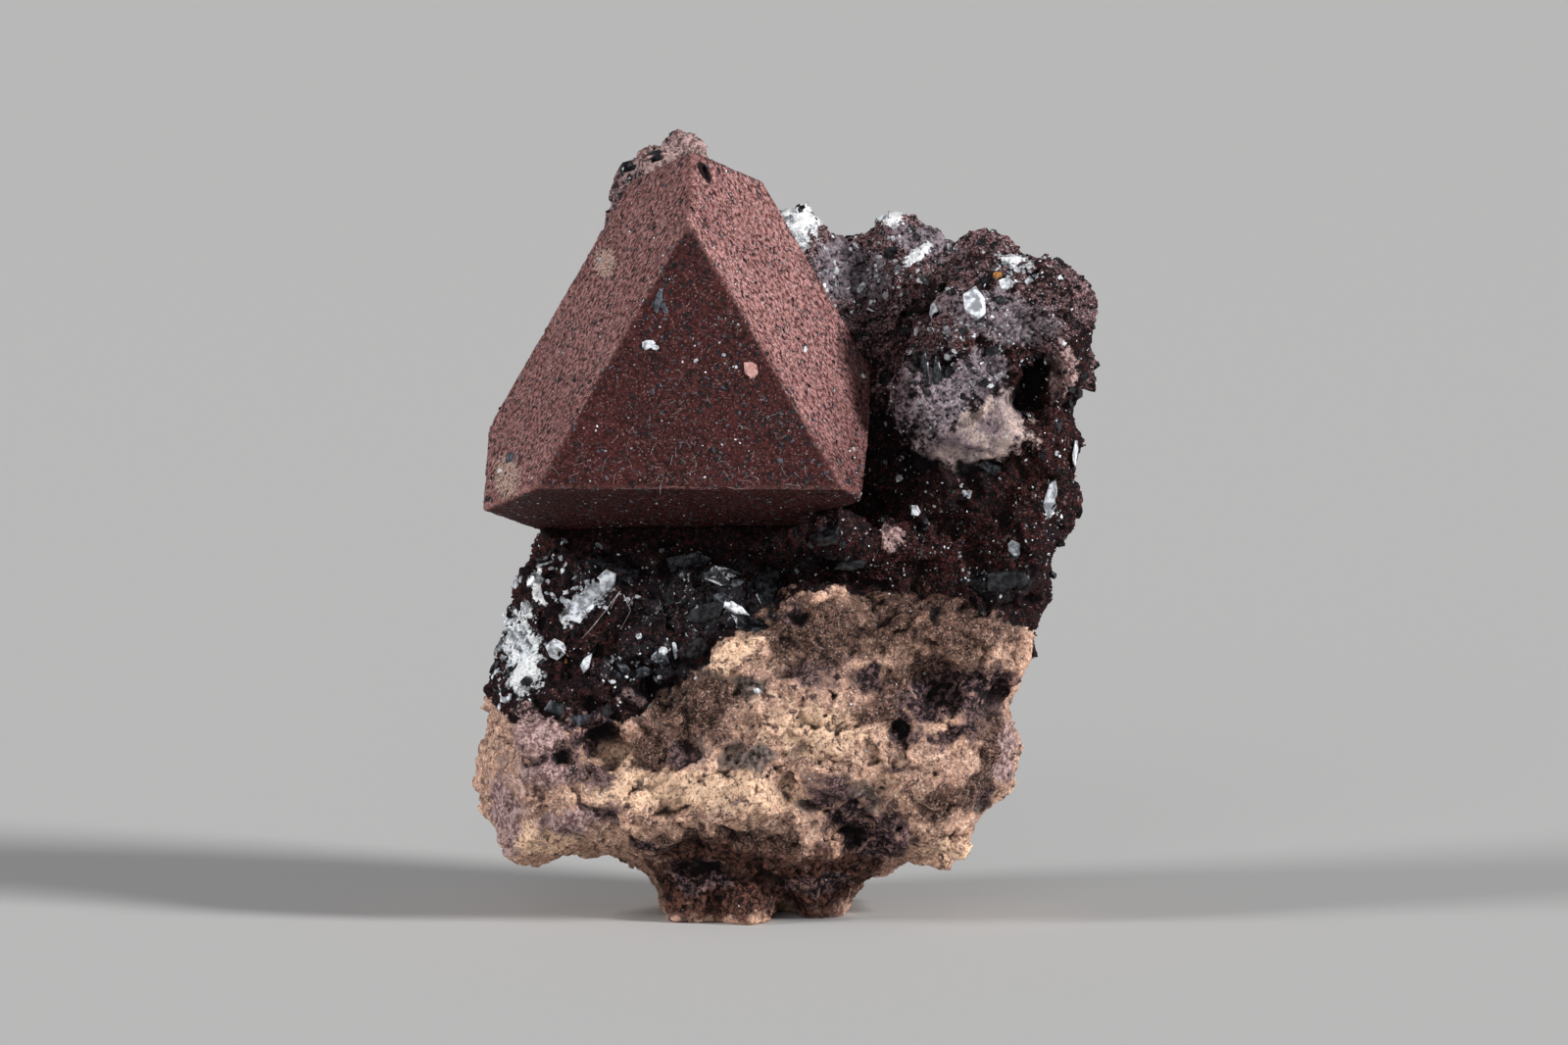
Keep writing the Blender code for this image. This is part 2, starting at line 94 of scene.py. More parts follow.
# A blob is its centre, its radii across and up and, where they aren't 0 and 2, its lean about Y in
# degrees and its radius in depth. These are the patches of the rock that differ.
PATCHES = {
    "warm": (
        (-5.9, -4.4, 5.5, 2.5, 1.2), (-1.9, -4.4, 5.3, 2.7, 1, -5), (1.2, -4.2, 7.5, 2, 1.1, -8),
        (6.2, -2.6, 3, 0.9, 1.1, 20), (-2, -3.8, 10.2, 0.45, 2.5, -52),
        (-8.9, -3, 3.5, 1.6, 0.8, 5), (2.5, 5, 6, 4, 2, 10, 3), (-6, 5, 5, 2.5, 1.5, 0, 3),
    ),
    "grey": (
        (-3.1, -4.4, 9.2, 0.95, 0.6), (-4.4, -4.6, 7.9, 0.6, 0.75), (0.7, -4, 11.4, 1.3, 1.1),
        (-1.5, -4.4, 9.1, 0.8, 0.5), (5.6, -3.4, 11.2, 1.8, 0.8, 10), (7.3, -2.2, 5.2, 0.7, 1.6),
        (-3.7, -4.6, 7.5, 0.8, 1.3, 20), (2.1, -4, 4.9, 1.8, 0.8), (-1.2, -4.6, 6.6, 1.1, 0.6),
        (-1, 5.5, 3.5, 3.5, 1.2, 0, 3), (7.5, 3, 7, 1.5, 2, 0, 3),
    ),
    "mauve": (
        (-3.9, -4.6, 6.8, 0.75, 0.65), (-7.7, -4, 5.8, 1.5, 0.9, -8),
        (-2.6, -3.8, 3.1, 3.1, 0.6, 2), (-8.4, -4.2, 6.6, 0.9, 0.6), (-7, -4.2, 4.3, 1, 0.5, -10),
        (1.4, -4, 10.6, 1.4, 0.9, -20), (3.3, -4, 9.3, 1.2, 0.65), (5.8, -3.4, 10.5, 1.5, 0.75),
        (1.6, -4, 5.4, 1.1, 0.8), (3.8, -3.6, 3.5, 1.5, 0.95, 15), (7.3, -3, 7.7, 1.1, 1.1),
        (7.2, -3, 5.2, 0.9, 1), (4.2, -4, 6, 0.7, 0.4), (5.4, -3.6, 9.2, 2.4, 0.8, 5),
        (7.2, -3, 8.2, 1.4, 0.9), (0.9, -4, 10, 1, 1), (-4.1, -2.8, 1.2, 3.3, 1.2),
        (1.5, -2.6, 1.2, 3, 1.2, 10, 2.5), (-3, 5.5, 8, 3.5, 1.5, 20, 3),
        (5, 5, 3, 2.5, 1.2, 0, 3),
    ),
    "umber": (
        (1, -4, 11.2, 2.1, 1.4), (5.4, -3.6, 11.1, 3.4, 1.1), (5.6, -3.5, 9.3, 3.2, 1.1),
        (3.6, -4, 8.2, 1.2, 0.7), (-3.5, -4.5, 8.3, 1.7, 1.3), (-2.4, -3.8, 2.9, 3.4, 0.8),
        (7.6, -2.5, 6.6, 0.8, 1.4), (-5, -4.6, 6.9, 0.8, 0.8), (0, 6, 5.5, 4.5, 1.4, 8, 3),
        (4.8, -3.6, 12.4, 2.6, 0.55), (6, -3.4, 5, 1.5, 0.9, 20), (-6.5, 4, 6.5, 2, 1.2, 0, 3),
    ),
    "rust": (
        (-2.6, -3, 1.6, 3.6, 1.7, 0, 2.5), (1.4, -2.6, 1.6, 3, 1.6, 15, 2.5),
        (5.6, -2.5, 14, 3.6, 1.6, 0, 2.5), (9.4, -2, 18, 1.6, 3, 0, 3),
        (7.6, -2.8, 21.6, 1.8, 1, 0, 1.6), (-7, -3, 10.6, 0.8, 0.8),
    ),
    # Dark patches around the holes: partly stain, partly painted shade.
    "stain_and_shade": (
        (3, -4, 3.5, 1.9, 1, -37), (2.1, -4.2, 4.6, 1.1, 0.5), (3.8, -3.4, 2.7, 0.95, 0.5, 20),
        (6.9, -3.2, 8.9, 1.9, 1, 8), (5.4, -3.6, 8.6, 1.6, 0.8, 10), (6.2, -3.8, 7.3, 1.1, 0.4, 8),
        (4.5, -4, 7.4, 0.8, 0.55, -20), (3.3, -4.2, 9.5, 0.5, 0.6), (0.2, -4.4, 11.8, 0.45, 0.45),
        (-7.1, -4.6, 7.5, 1.1, 0.95, -10), (-9.4, -4.6, 6.4, 0.5, 0.3, -20),
        (-3.3, -3.4, 1.9, 1.25, 0.6), (1.4, -2.8, 1.4, 1.5, 0.5), (-5.2, -4.2, 3, 0.9, 0.25, -4),
        (0.5, 6, 7, 1.5, 0.8, 0, 3),
    ),
    "pink": (
        (-9.4, -4.6, 7.4, 1, 0.95), (-9.2, -4.4, 5.9, 0.9, 0.7), (-8.1, -4.2, 4, 1.1, 0.7, 10),
        (-10.5, -2.6, 4.2, 0.95, 1.6), (-5.7, -4.3, 8.5, 0.6, 0.4),
        (1.6, -4.6, 13.4, 0.5, 0.35, -30), (4, -3.6, 14.7, 0.45, 0.45),
        (10.3, -1.6, 20.9, 0.5, 1.3), (8.4, -2, 6.5, 0.45, 1.3),
        (-4.2, 3.4, 28.8, 2.4, 1.9, 0, 2.2),
    ),
    "pale": ((7.1, -3.2, 18.25, 2.1, 1.05, 14, 1.8), (8.2, -3.2, 19.1, 0.8, 1, 0, 1.5)),
    "lilac": (
        (5.2, -3, 19.6, 1.6, 1.7, 10, 1.8), (6.9, -3, 20.6, 1.5, 1, 20, 1.6),
        (7.8, -3.2, 22.9, 2.2, 0.9, -15, 1.6), (2.4, 2.8, 24.2, 1.8, 1.1, -25, 2.4),
        (5.2, 2.8, 25.4, 1.4, 0.6, -15, 2.4),
    ),
    "silver": (
        (-10, -2.5, 10.2, 0.8, 1.7, 15, 3.5), (-9.3, -1.5, 12.5, 0.35, 0.7, 30, 3),
        (-7.5, -2, 12.1, 0.4, 1.4, -52), (0.4, 3, 26, 0.9, 1.1, 0, 2.5),
        (3.9, 3.2, 26.4, 0.55, 0.55, 0, 2.5), (5, 2.4, 24.9, 0.25, 0.9, -50, 2.5),
        (8.4, -1.6, 25, 1.2, 0.2, -10),
    ),
    "gloss": (
        (-5.2, -3.4, 9.7, 1.5, 1.1), (-2.6, -2.6, 12.3, 3, 1.3, 10), (-6.6, -2.4, 13.2, 1.4, 0.6),
        (2, -2.4, 13.8, 1.2, 0.6), (8, -2.4, 12.8, 1.4, 0.5),
    ),
}

# Holes dug into the rock, also painted dark as painted shade: a depth and a blob.
HOLES = (
    (0.6, -6.9, -4.6, 7.2, 1.1, 0.5, -10), (0.5, -8.4, -4.6, 6.5, 0.45, 0.3, 0, 1.5),
    (1, 9.2, -2.5, 20.3, 0.7, 1.45, -38), (0.9, 4.9, -2, 23, 0.28, 2, -38, 3),
    (1, 4.6, -3, 17.4, 1.3, 0.55), (0.8, 3.8, -3, 16.2, 0.45, 0.8),
    (0.6, 3.4, -2.5, 18.6, 0.55, 1.9), (0.5, 7.3, -3, 17.2, 1.4, 0.3, 8),
    (0.6, 3.9, -3, 17.3, 0.7, 1.1), (0.25, 5.6, -4, 8.9, 0.6, 0.15, 25),
    (0.2, 4.3, -4.3, 7.6, 0.35, 0.16, -30), (0.25, 6.2, -3.8, 7.4, 0.5, 0.14, 15),
    (0.4, 7.6, -3.3, 8.7, 0.4, 0.2, 30), (0.4, 5.6, -4, 11.7, 0.2, 0.3),
    (0.3, 4.2, -4, 11.2, 0.4, 0.12, 30), (0.5, -3.2, -3.5, 2, 1.2, 0.35),
    (0.4, 2.4, -4.2, 3.4, 0.6, 0.6), (0.3, 0.6, -4.2, 11.7, 0.5, 0.35),
    (0.3, -0.4, -4.6, 6.1, 0.55, 0.1, 35), (0.25, 1.6, -4.4, 8.9, 0.12, 0.35),
    (0.3, -4.4, -4.5, 8.6, 0.15, 0.3, -30),
)

# How much smoother some patches are than the rest.
STILL = {"pale": 1, "lilac": 0.5, "silver": 0.6, "pink": 0.3}

# Dusty beige patches on the crystal, and dark notches in it painted as painted shade, as blobs.
CRYSTAL_DUST = (
    (-10.4, -4, 16.9, 0.5, 0.65, 0, 6), (-6.8, -4, 24.8, 0.42, 0.5, 0, 6),
    (-4.9, 0, 23.2, 0.2, 0.5, 0, 3),
)
CRYSTAL_NOTCH_SHADES = (
    (-3.02, -3, 28.3, 0.16, 0.45, 30, 5), (-5.2, 0, 24, 0.1, 0.25, -20, 3),
)

# How light the crystal's faces are: partly their etching, partly painted light and shade.
FACE_TONES = {"front": 0.04, "right": 1.0, "left": 0.67, "below": 0.04, "corner": 0.5}

# The crystal's lower right edge is cut off: a point of the cut and the way it faces.
CRYSTAL_CUT = ((2.74, 0, 16.1), (0.989, 0, -0.147))

# The rock's stuffs: a ground colour, then layers. Each has the value that places it, the range in
# which it comes in, its colour and, where that isn't all, how much it covers at most.
STUFFS = {
    "dark": (
        (0.003, 0.002, 0.003), ("medium", 0.4, 0.7, (0.014, 0.006, 0.007)),
        ("fine", 0.5, 0.62, (0.043, 0.01, 0.009)), ("grit", 0.6, 0.68, (0.13, 0.07, 0.072), 0.7),
    ),
    "dusty": (
        (0.009, 0.004, 0.005), ("fine", 0.42, 0.58, (0.155, 0.068, 0.068)),
        ("grit", 0.56, 0.64, (0.42, 0.33, 0.35)), ("grit", 0.44, 0.36, (0.006, 0.004, 0.005), 0.8),
        ("veins", 0.035, 0.008, (0.3, 0.23, 0.25), 0.4),
    ),
    "rusty": (
        (0.004, 0.002, 0.002), ("fine", 0.42, 0.6, (0.045, 0.0105, 0.009)),
        ("grit", 0.58, 0.67, (0.2, 0.12, 0.12), 0.8),
    ),
    "clay": (
        (0.54, 0.322, 0.225), ("broad", 0.35, 0.65, (0.42, 0.248, 0.188)),
        ("warm", 0.25, 0.7, (0.76, 0.505, 0.34)), ("fine", 0.5, 0.66, (0.88, 0.66, 0.5), 0.55),
        ("fine", 0.47, 0.37, (0.2, 0.115, 0.09), 0.75),
        ("grit", 0.42, 0.34, (0.98, 0.8, 0.66), 0.55),
        ("grit", 0.57, 0.65, (0.085, 0.05, 0.047), 0.75),
        ("blots", 0.56, 0.64, (0.055, 0.033, 0.036), 0.9),
        ("medium", 0.56, 0.68, (0.17, 0.1, 0.085), 0.7),
    ),
    "grey": ((0.045, 0.033, 0.029), ("fine", 0.4, 0.6, (0.23, 0.175, 0.155))),
    "mauve": (
        (0.022, 0.013, 0.015), ("fine", 0.42, 0.62, (0.17, 0.1, 0.095)),
        ("grit", 0.56, 0.66, (0.4, 0.29, 0.28), 0.7),
    ),
    "umber": (
        (0.026, 0.014, 0.011), ("fine", 0.4, 0.6, (0.16, 0.088, 0.066)),
        ("grit", 0.55, 0.66, (0.02, 0.012, 0.012), 0.8),
        ("grit", 0.42, 0.34, (0.5, 0.37, 0.31), 0.6),
    ),
    "ruddy": ((0.008, 0.003, 0.0025), ("fine", 0.42, 0.6, (0.125, 0.055, 0.04))),
    "pink": (
        (0.15, 0.085, 0.085), ("fine", 0.4, 0.6, (0.5, 0.352, 0.335)),
        ("grit", 0.55, 0.65, (0.07, 0.033, 0.035), 0.8),
    ),
    # Partly stain, partly painted shade around the holes.
    "stain_and_shade": (
        (0.01, 0.006, 0.008), ("fine", 0.46, 0.62, (0.15, 0.09, 0.093)),
        ("blots", 0.44, 0.38, (0.3, 0.18, 0.145)),
    ),
    "lilac": (
        (0.022, 0.016, 0.02), ("fine", 0.38, 0.62, (0.27, 0.215, 0.24)),
        ("veins", 0.035, 0.008, (0.5, 0.43, 0.47), 0.4),
    ),
    "pale": (
        (0.27, 0.205, 0.225), ("medium", 0.4, 0.62, (0.62, 0.48, 0.43)),
        ("grit", 0.56, 0.66, (0.09, 0.06, 0.065), 0.6),
    ),
    # Near-white: partly the hematite's silver, partly a painted reflection.
    "silver": (
        (0.95, 0.98, 1), ("medium", 0.56, 0.64, (0.3, 0.29, 0.31)),
        ("fine", 0.54, 0.66, (0.36, 0.37, 0.4), 0.5),
    ),
    # The faint bluish streaks are painted sheen on the glossy rock.
    "sheen": (
        (0.003, 0.003, 0.004), ("medium", 0.4, 0.6, (0.012, 0.014, 0.018)),
        ("grit", 0.58, 0.66, (0.11, 0.035, 0.03)),
    ),
}

# The stuffs on the dark rock, on the clay and on both: the patch of each and its range.
ON_DARK = {"dusty": ("dusty", 0.35, 0.8), "rusty": ("rust", 0.35, 0.8)}
ON_CLAY = {
    "grey": ("grey", 0.35, 0.8), "mauve": ("mauve", 0.35, 0.8), "umber": ("umber", 0.3, 0.7),
    "ruddy": ("rust", 0.35, 0.8),
}
ON_BOTH = {
    "pink": ("pink", 0.35, 0.8), "stain_and_shade": ("stain_and_shade", 0.35, 0.75), "lilac": ("lilac", 0.35, 0.8),
    "pale": ("pale", 0.35, 0.8), "silver": ("silver", 0.45, 0.7), "sheen": ("gloss", 0.35, 0.7),
}

# Metals and grains: their dull and bright colours, their roughness and how metallic they are.
METALS = {
    # The bright silver is partly the hematite's own, partly a painted reflection.
    "silver_hematite": ((0.3, 0.31, 0.34), (0.86, 0.9, 0.95), 0.42, 0.25),
    "steel_hematite": ((0.1, 0.105, 0.115), (0.5, 0.53, 0.57), 0.38, 0.4),
    "black_hematite": ((0.008, 0.008, 0.01), (0.04, 0.042, 0.048), 0.2, 0.5),
    "blue_hematite": ((0.022, 0.025, 0.03), (0.11, 0.12, 0.14), 0.3, 0.5),
    "rosy_grain": ((0.3, 0.1, 0.085), (0.62, 0.35, 0.31), 0.5, 0),
    "ochre": ((0.25, 0.09, 0.015), (0.5, 0.22, 0.05), 0.7, 0),
    "blue_fleck": ((0.022, 0.025, 0.031), (0.105, 0.118, 0.145), 0.4, 0.2),
    "fibre": ((0.22, 0.19, 0.19), (0.46, 0.42, 0.42), 0.5, 0.1),
}

# The larger plates: a metal, then X and Z from the front, width, height and lean of each.
SLABS = {
    "silver_plates": (
        "silver_hematite", (-7.28, 12.26, 2.9, 0.8, 38), (-7.84, 11.25, 0.8, 0.5, 10),
        (-7.54, 9.43, 0.45, 0.8, -25), (-8.65, 10.03, 0.8, 0.8, 45), (-1.91, 11.62, 1.1, 0.4, -25),
        (7.27, 23.08, 0.95, 1.3, 20), (5.68, 22.89, 0.4, 0.9, -25), (6.13, 22.15, 0.5, 0.45, 0),
        (8.27, 23.82, 0.5, 0.55, 20), (9.09, 23.9, 0.45, 0.6, 0), (4.98, 22, 0.26, 0.4, 0),
        (6.13, 21.07, 0.26, 0.33, 30), (10.01, 15.72, 0.5, 1.6, -15), (10.9, 17.57, 0.2, 1.2, -5),
        (6.79, 15.9, 0.4, 0.4, 20), (4.94, 15.27, 0.45, 0.5, 0), (8.64, 13.93, 0.45, 0.65, 30),
        (4.35, 16.61, 0.33, 0.33, 0), (-1.1, 8.43, 0.33, 0.22, -30), (-4.1, 10, 0.16, 0.9, 5),
        (-4.69, 10, 0.35, 0.35, 0), (-5.54, 10.5, 0.26, 0.26, 0), (-6.62, 9.55, 0.3, 0.16, 30),
    ),
    "blue_plates": (
        "blue_hematite", (-8.54, 7.87, 1, 0.8, -10), (-7.9, 7.24, 1.2, 0.6, 30),
        (-5.3, 9.2, 0.9, 0.5, 15), (-4.8, 9.75, 0.7, 0.6, -20), (-6.1, 9.35, 0.7, 0.3, -35),
        (-2.35, 11.95, 0.8, 0.35, -15), (-1.85, 12.55, 0.6, 0.3, 10), (8.64, 13.63, 0.45, 0.45, 0),
    ),
    "black_plates": (
        "black_hematite", (-3.48, 10.1, 1.1, 1, 20), (-2.36, 12.74, 2.2, 0.95, -15),
        (-0.73, 12.44, 0.95, 1.85, -10), (-3.76, 13.19, 1.85, 0.95, 10),
        (-1.36, 10.88, 1.5, 0.75, -35), (-3.02, 11.44, 1.5, 0.8, 20), (-5.99, 12.74, 1.1, 0.9, 30),
        (8.38, 12.67, 2, 0.95, 5), (5.27, 20.74, 0.33, 1.55, 8), (5.68, 20.62, 0.33, 1.25, 0),
        (4.9, 20.85, 0.3, 1.1, 15), (6.09, 20.36, 0.3, 0.8, -10), (3.83, 20.25, 0.45, 0.75, -30),
        (1.53, 14.38, 1.25, 0.8, 20), (2.46, 13.3, 1.1, 0.5, 10), (7.72, 16.83, 0.9, 0.5, -20),
    ),
    "ochre_grains": ("ochre", (-8.32, 9.58, 0.35, 0.25, 0), (7.98, 24.12, 0.4, 0.3, 0)),
    "crystal_flakes": (
        "silver_hematite", (-5.17, 21.59, 0.55, 0.35, 20), (-4.93, 21.5, 0.3, 0.2, -20),
        (0.72, 21.4, 0.35, 0.2, 40), (2.94, 20.4, 0.22, 0.22, 0), (2.55, 17.65, 0.2, 0.2, 0),
        (-10.78, 16.8, 0.25, 0.25, 0), (-3.37, 21, 0.2, 0.15, 0), (-2.33, 21.2, 0.2, 0.15, 0),
        (-1.86, 20.75, 0.15, 0.15, 0), (-6.99, 24.75, 0.25, 0.2, 0),
    ),
    "crystal_slates": (
        "blue_fleck", (-4.8, 23.25, 0.28, 0.9, -12), (-4.55, 22.95, 0.25, 0.45, 20),
        (-10.4, 17.3, 0.4, 0.5, 10), (-6.55, 14.45, 0.45, 0.3, 0), (0.7, 21.5, 0.5, 0.2, 40),
        (-5.05, 19.8, 0.2, 0.3, 10),
    ),
    "crystal_spot": ("rosy_grain", (-1.32, 20.66, 0.55, 0.62, 20), (-1.22, 20.45, 0.35, 0.3, 0)),
}
SLAB_DEPTH = 0.35
SLAB_LIFT = 0.1
ON_CRYSTAL = 0.1  # how loose they are on the crystal, beside 1 on the rock

# Pale fibres under the crystal, as X and Z along each one seen from the front.
FIBRES = (
    ((-6.25, 12.26), (-6.45, 11.95), (-6.62, 11.59)),
    ((-6.12, 12.11), (-5.98, 11.8), (-5.87, 11.51), (-6.02, 11.2), (-6.25, 10.81)),
    ((-5.76, 12.03), (-5.84, 11.86), (-5.91, 11.7)),
    ((-6.25, 12.26), (-6.9, 11.4), (-7.3, 10.9), (-7.69, 10.47)),
)
FIBRE_LIFT = 0.15
FIBRE_WIDTH = 0.045
HAIR_COUNT = 170  # the finer ones on the crystal
HAIR_WIDTH = 0.015

# Bright clusters of small plates: their number, smallest and largest width, and a blob.
CLUSTERS = (
    (90, 0.2, 0.9, -10.3, -1.5, 10.3, 0.9, 1.8, 0, 2.2), (60, 0.2, 0.7, -9, -1.4, 12.6, 1.5, 1.2),
    (45, 0.2, 0.6, -7.3, -1.9, 12.3, 1.3, 0.6, 0, 1.6),
    (30, 0.12, 0.35, -5.6, -3, 9.6, 2, 1, 0, 1.6), (25, 0.25, 0.6, 0.4, 3, 26, 0.8, 1, 0, 1.6),
    (15, 0.2, 0.6, 3.9, 3.2, 26.3, 0.7, 0.7, 0, 1.4),
    (150, 0.12, 0.5, 3.6, 2, 24.4, 2.6, 1.4, 0, 2.4),
    (40, 0.1, 0.4, 7.2, -3.6, 23, 1.4, 1.2, 0, 1.2), (50, 0.1, 0.4, 5.6, -3.4, 22, 1, 1.3, 0, 1.4),
    (80, 0.12, 0.4, 8.8, -2.2, 24.6, 1.5, 0.8), (210, 0.08, 0.34, 7, -3, 21.5, 3.2, 3, 0, 2.4),
    (30, 0.12, 0.4, 10, -1.8, 15.9, 0.6, 1.1, 0, 1.6),
    (30, 0.1, 0.3, 7.6, -2.6, 14.2, 2.8, 1.2, 0, 1.6), (160, 0.15, 0.6, 0, 6, 18, 5, 4, 0, 4),
)
STEEL_SHARE = 0.45  # how many of these plates are duller

# Their thickness as a share of the width, how far they turn off the surface, and how narrow they
# may be.
CLUSTER_PLATES = (0.15, 0.35, (0.35, 0.9))

# Scattered plates: their metal, number, smallest and largest width, and the same again.
SCATTERED = {
    "hematite_glints": ("silver_hematite", 2600, 0.05, 0.22, 0.35, 0.7, (0.55, 1)),
    "dark_plates": ("black_hematite", 1000, 0.15, 0.9, 0.3, 0.5, (0.55, 1)),
    "crystal_flecks": ("black_hematite", 1700, 0.08, 0.5, 0.14, 0.1, (0.15, 0.6)),
    "crystal_scales": ("blue_fleck", 2500, 0.08, 0.38, 0.12, 0.15, (0.2, 0.6)),
    "crystal_glints": ("silver_hematite", 450, 0.05, 0.16, 0.3, 0.3, (0.55, 1)),
}

# Loose crumbs of rock: their number, smallest and largest width.
CRUMBS = {"clay_crumbs": (2000, 0.05, 0.22), "dark_crumbs": (3400, 0.06, 0.24)}
# The hollow value the crumbs take, which sets their painted shade and crest lightening.
CRUMB_HOLLOW = 0.46


# Noise, for arrays of points, one to a row, measured in its own spacing.


def cell_vectors(cells, seed):
    """Three repeatable random numbers from -1 to 1 for each whole-numbered cell."""
    whole = cells.astype(np.int64)
    mixed = whole[:, 0] * 73856093 ^ whole[:, 1] * 19349663 ^ whole[:, 2] * 83492791
    vectors = np.empty(cells.shape)
    for axis in range(3):
        number = (mixed + (seed * 3 + axis + 1) * 668265263) & 0xFFFFFFFF
        number = ((number ^ number >> 15) * 2246822519) & 0xFFFFFFFF
        number = ((number ^ number >> 13) * 3266489917) & 0xFFFFFFFF
        vectors[:, axis] = ((number ^ number >> 16) & 0xFFFFFF) / 0x7FFFFF - 1
    return vectors


def waves(points, seed):
    """Smooth noise, from about -1 to 1."""
    corner = np.floor(points)
    part = points - corner
    ease = part**3 * (part * (part * 6 - 15) + 10)
    total = np.zeros(len(points))
    for step in product((0, 1), repeat=3):
        slope = cell_vectors(corner + step, seed)
        share = np.prod(np.where(step, ease, 1 - ease), axis=1)
        total += share * ((part - step) * slope).sum(axis=1)
    return 1.4 * total


def layered(points, seed, layers=3):
    """Smooth noise with finer and fainter noise on it."""
    return sum(waves(points * 2.03**i, seed + i) / 2**i for i in range(layers))


def grains(points, seed):
    """The gap between the nearest two grains, and the nearest's offset and random numbers."""
    home = np.floor(points)
    nearest = np.full(len(points), 9.0)
    second = nearest.copy()
    offset = np.zeros_like(points)
    owner = np.zeros_like(points)
    for step in product((-1, 0, 1), repeat=3):
        cell = home + step
        away = points - (cell + 0.5 + 0.42 * cell_vectors(cell, seed))
        distance = np.sqrt((away**2).sum(axis=1))
        closer = distance < nearest
        second = np.where(closer, nearest, np.minimum(second, distance))
        nearest = np.where(closer, distance, nearest)
        offset[closer] = away[closer]
        owner[closer] = cell[closer]
    return second - nearest, offset, cell_vectors(owner, seed + 50)


def smooth(value, low, high):
    part = np.clip((value - low) / (high - low), 0, 1)
    return part * part * (3 - 2 * part)


# Meshes as arrays


def rows_of(things, name, columns, kind=float):
    """One property of a mesh's vertices, edges or triangles, a row to each."""
    flat = np.empty(len(things) * columns, dtype=kind)
    things.foreach_get(name, flat)
    return flat.reshape(-1, columns)


def coordinates(mesh):
    """The vertices' places, in millimetres."""
    return rows_of(mesh.vertices, "co", 3) / MM


def set_coordinates(mesh, points):
    mesh.vertices.foreach_set("co", (points * MM).ravel())
    mesh.update()


def normals(mesh):
    return rows_of(mesh.vertex_normals, "vector", 3)


def triangles(mesh):
    """The numbers of each triangle's vertices."""
    mesh.calc_loop_triangles()
    return rows_of(mesh.loop_triangles, "vertices", 3, np.int32)


def eased(mesh, values, times):
    """The vertices' values, eased that many times towards their neighbours'."""
    edges = rows_of(mesh.edges, "vertices", 2, np.int64)
    here, there = np.concatenate((edges, edges[:, ::-1])).T
    count = len(values)
    touching = np.maximum(np.bincount(here, minlength=count), 1)
    for _ in range(times):
        sums = [np.bincount(here, weights=column[there], minlength=count) for column in values.T]
        values = 0.5 * values + 0.5 * (np.array(sums) / touching).T
    return values


def unit(vectors):
    return vectors / norm(vectors, axis=1)[:, None]


def add_attributes(mesh, **values):
    for name, numbers in values.items():
        attribute = mesh.attributes.new(name, "FLOAT", "POINT")
        attribute.data.foreach_set("value", numbers.astype(np.float32))


def link(name, data, *materials):
    for material in materials:
        data.materials.append(material)
    thing = bpy.data.objects.new(name, data)
    bpy.context.scene.collection.objects.link(thing)
    return thing


def mesh_of(name, vertices, faces):
    mesh = bpy.data.meshes.new(name)
    mesh.from_pydata((vertices * MM).tolist(), [], faces)
    mesh.update()
    return mesh


def piece_of(name, shape, material):
    """A piece with the shape of a bmesh."""
    mesh = bpy.data.meshes.new(name)
    shape.to_mesh(mesh)
    shape.free()
    return link(name, mesh, material)


def add_sides(shape, low, high):
    """Joins two rings that have the same number of corners."""
    for i in range(len(low)):
        j = (i + 1) % len(low)
        shape.faces.new((low[i], low[j], high[j], high[i]))


def surface_tree(mesh):
    """The mesh's surface in millimetres, for finding points on it."""
    return BVHTree.FromPolygons(coordinates(mesh).tolist(), triangles(mesh).tolist())


# Materials


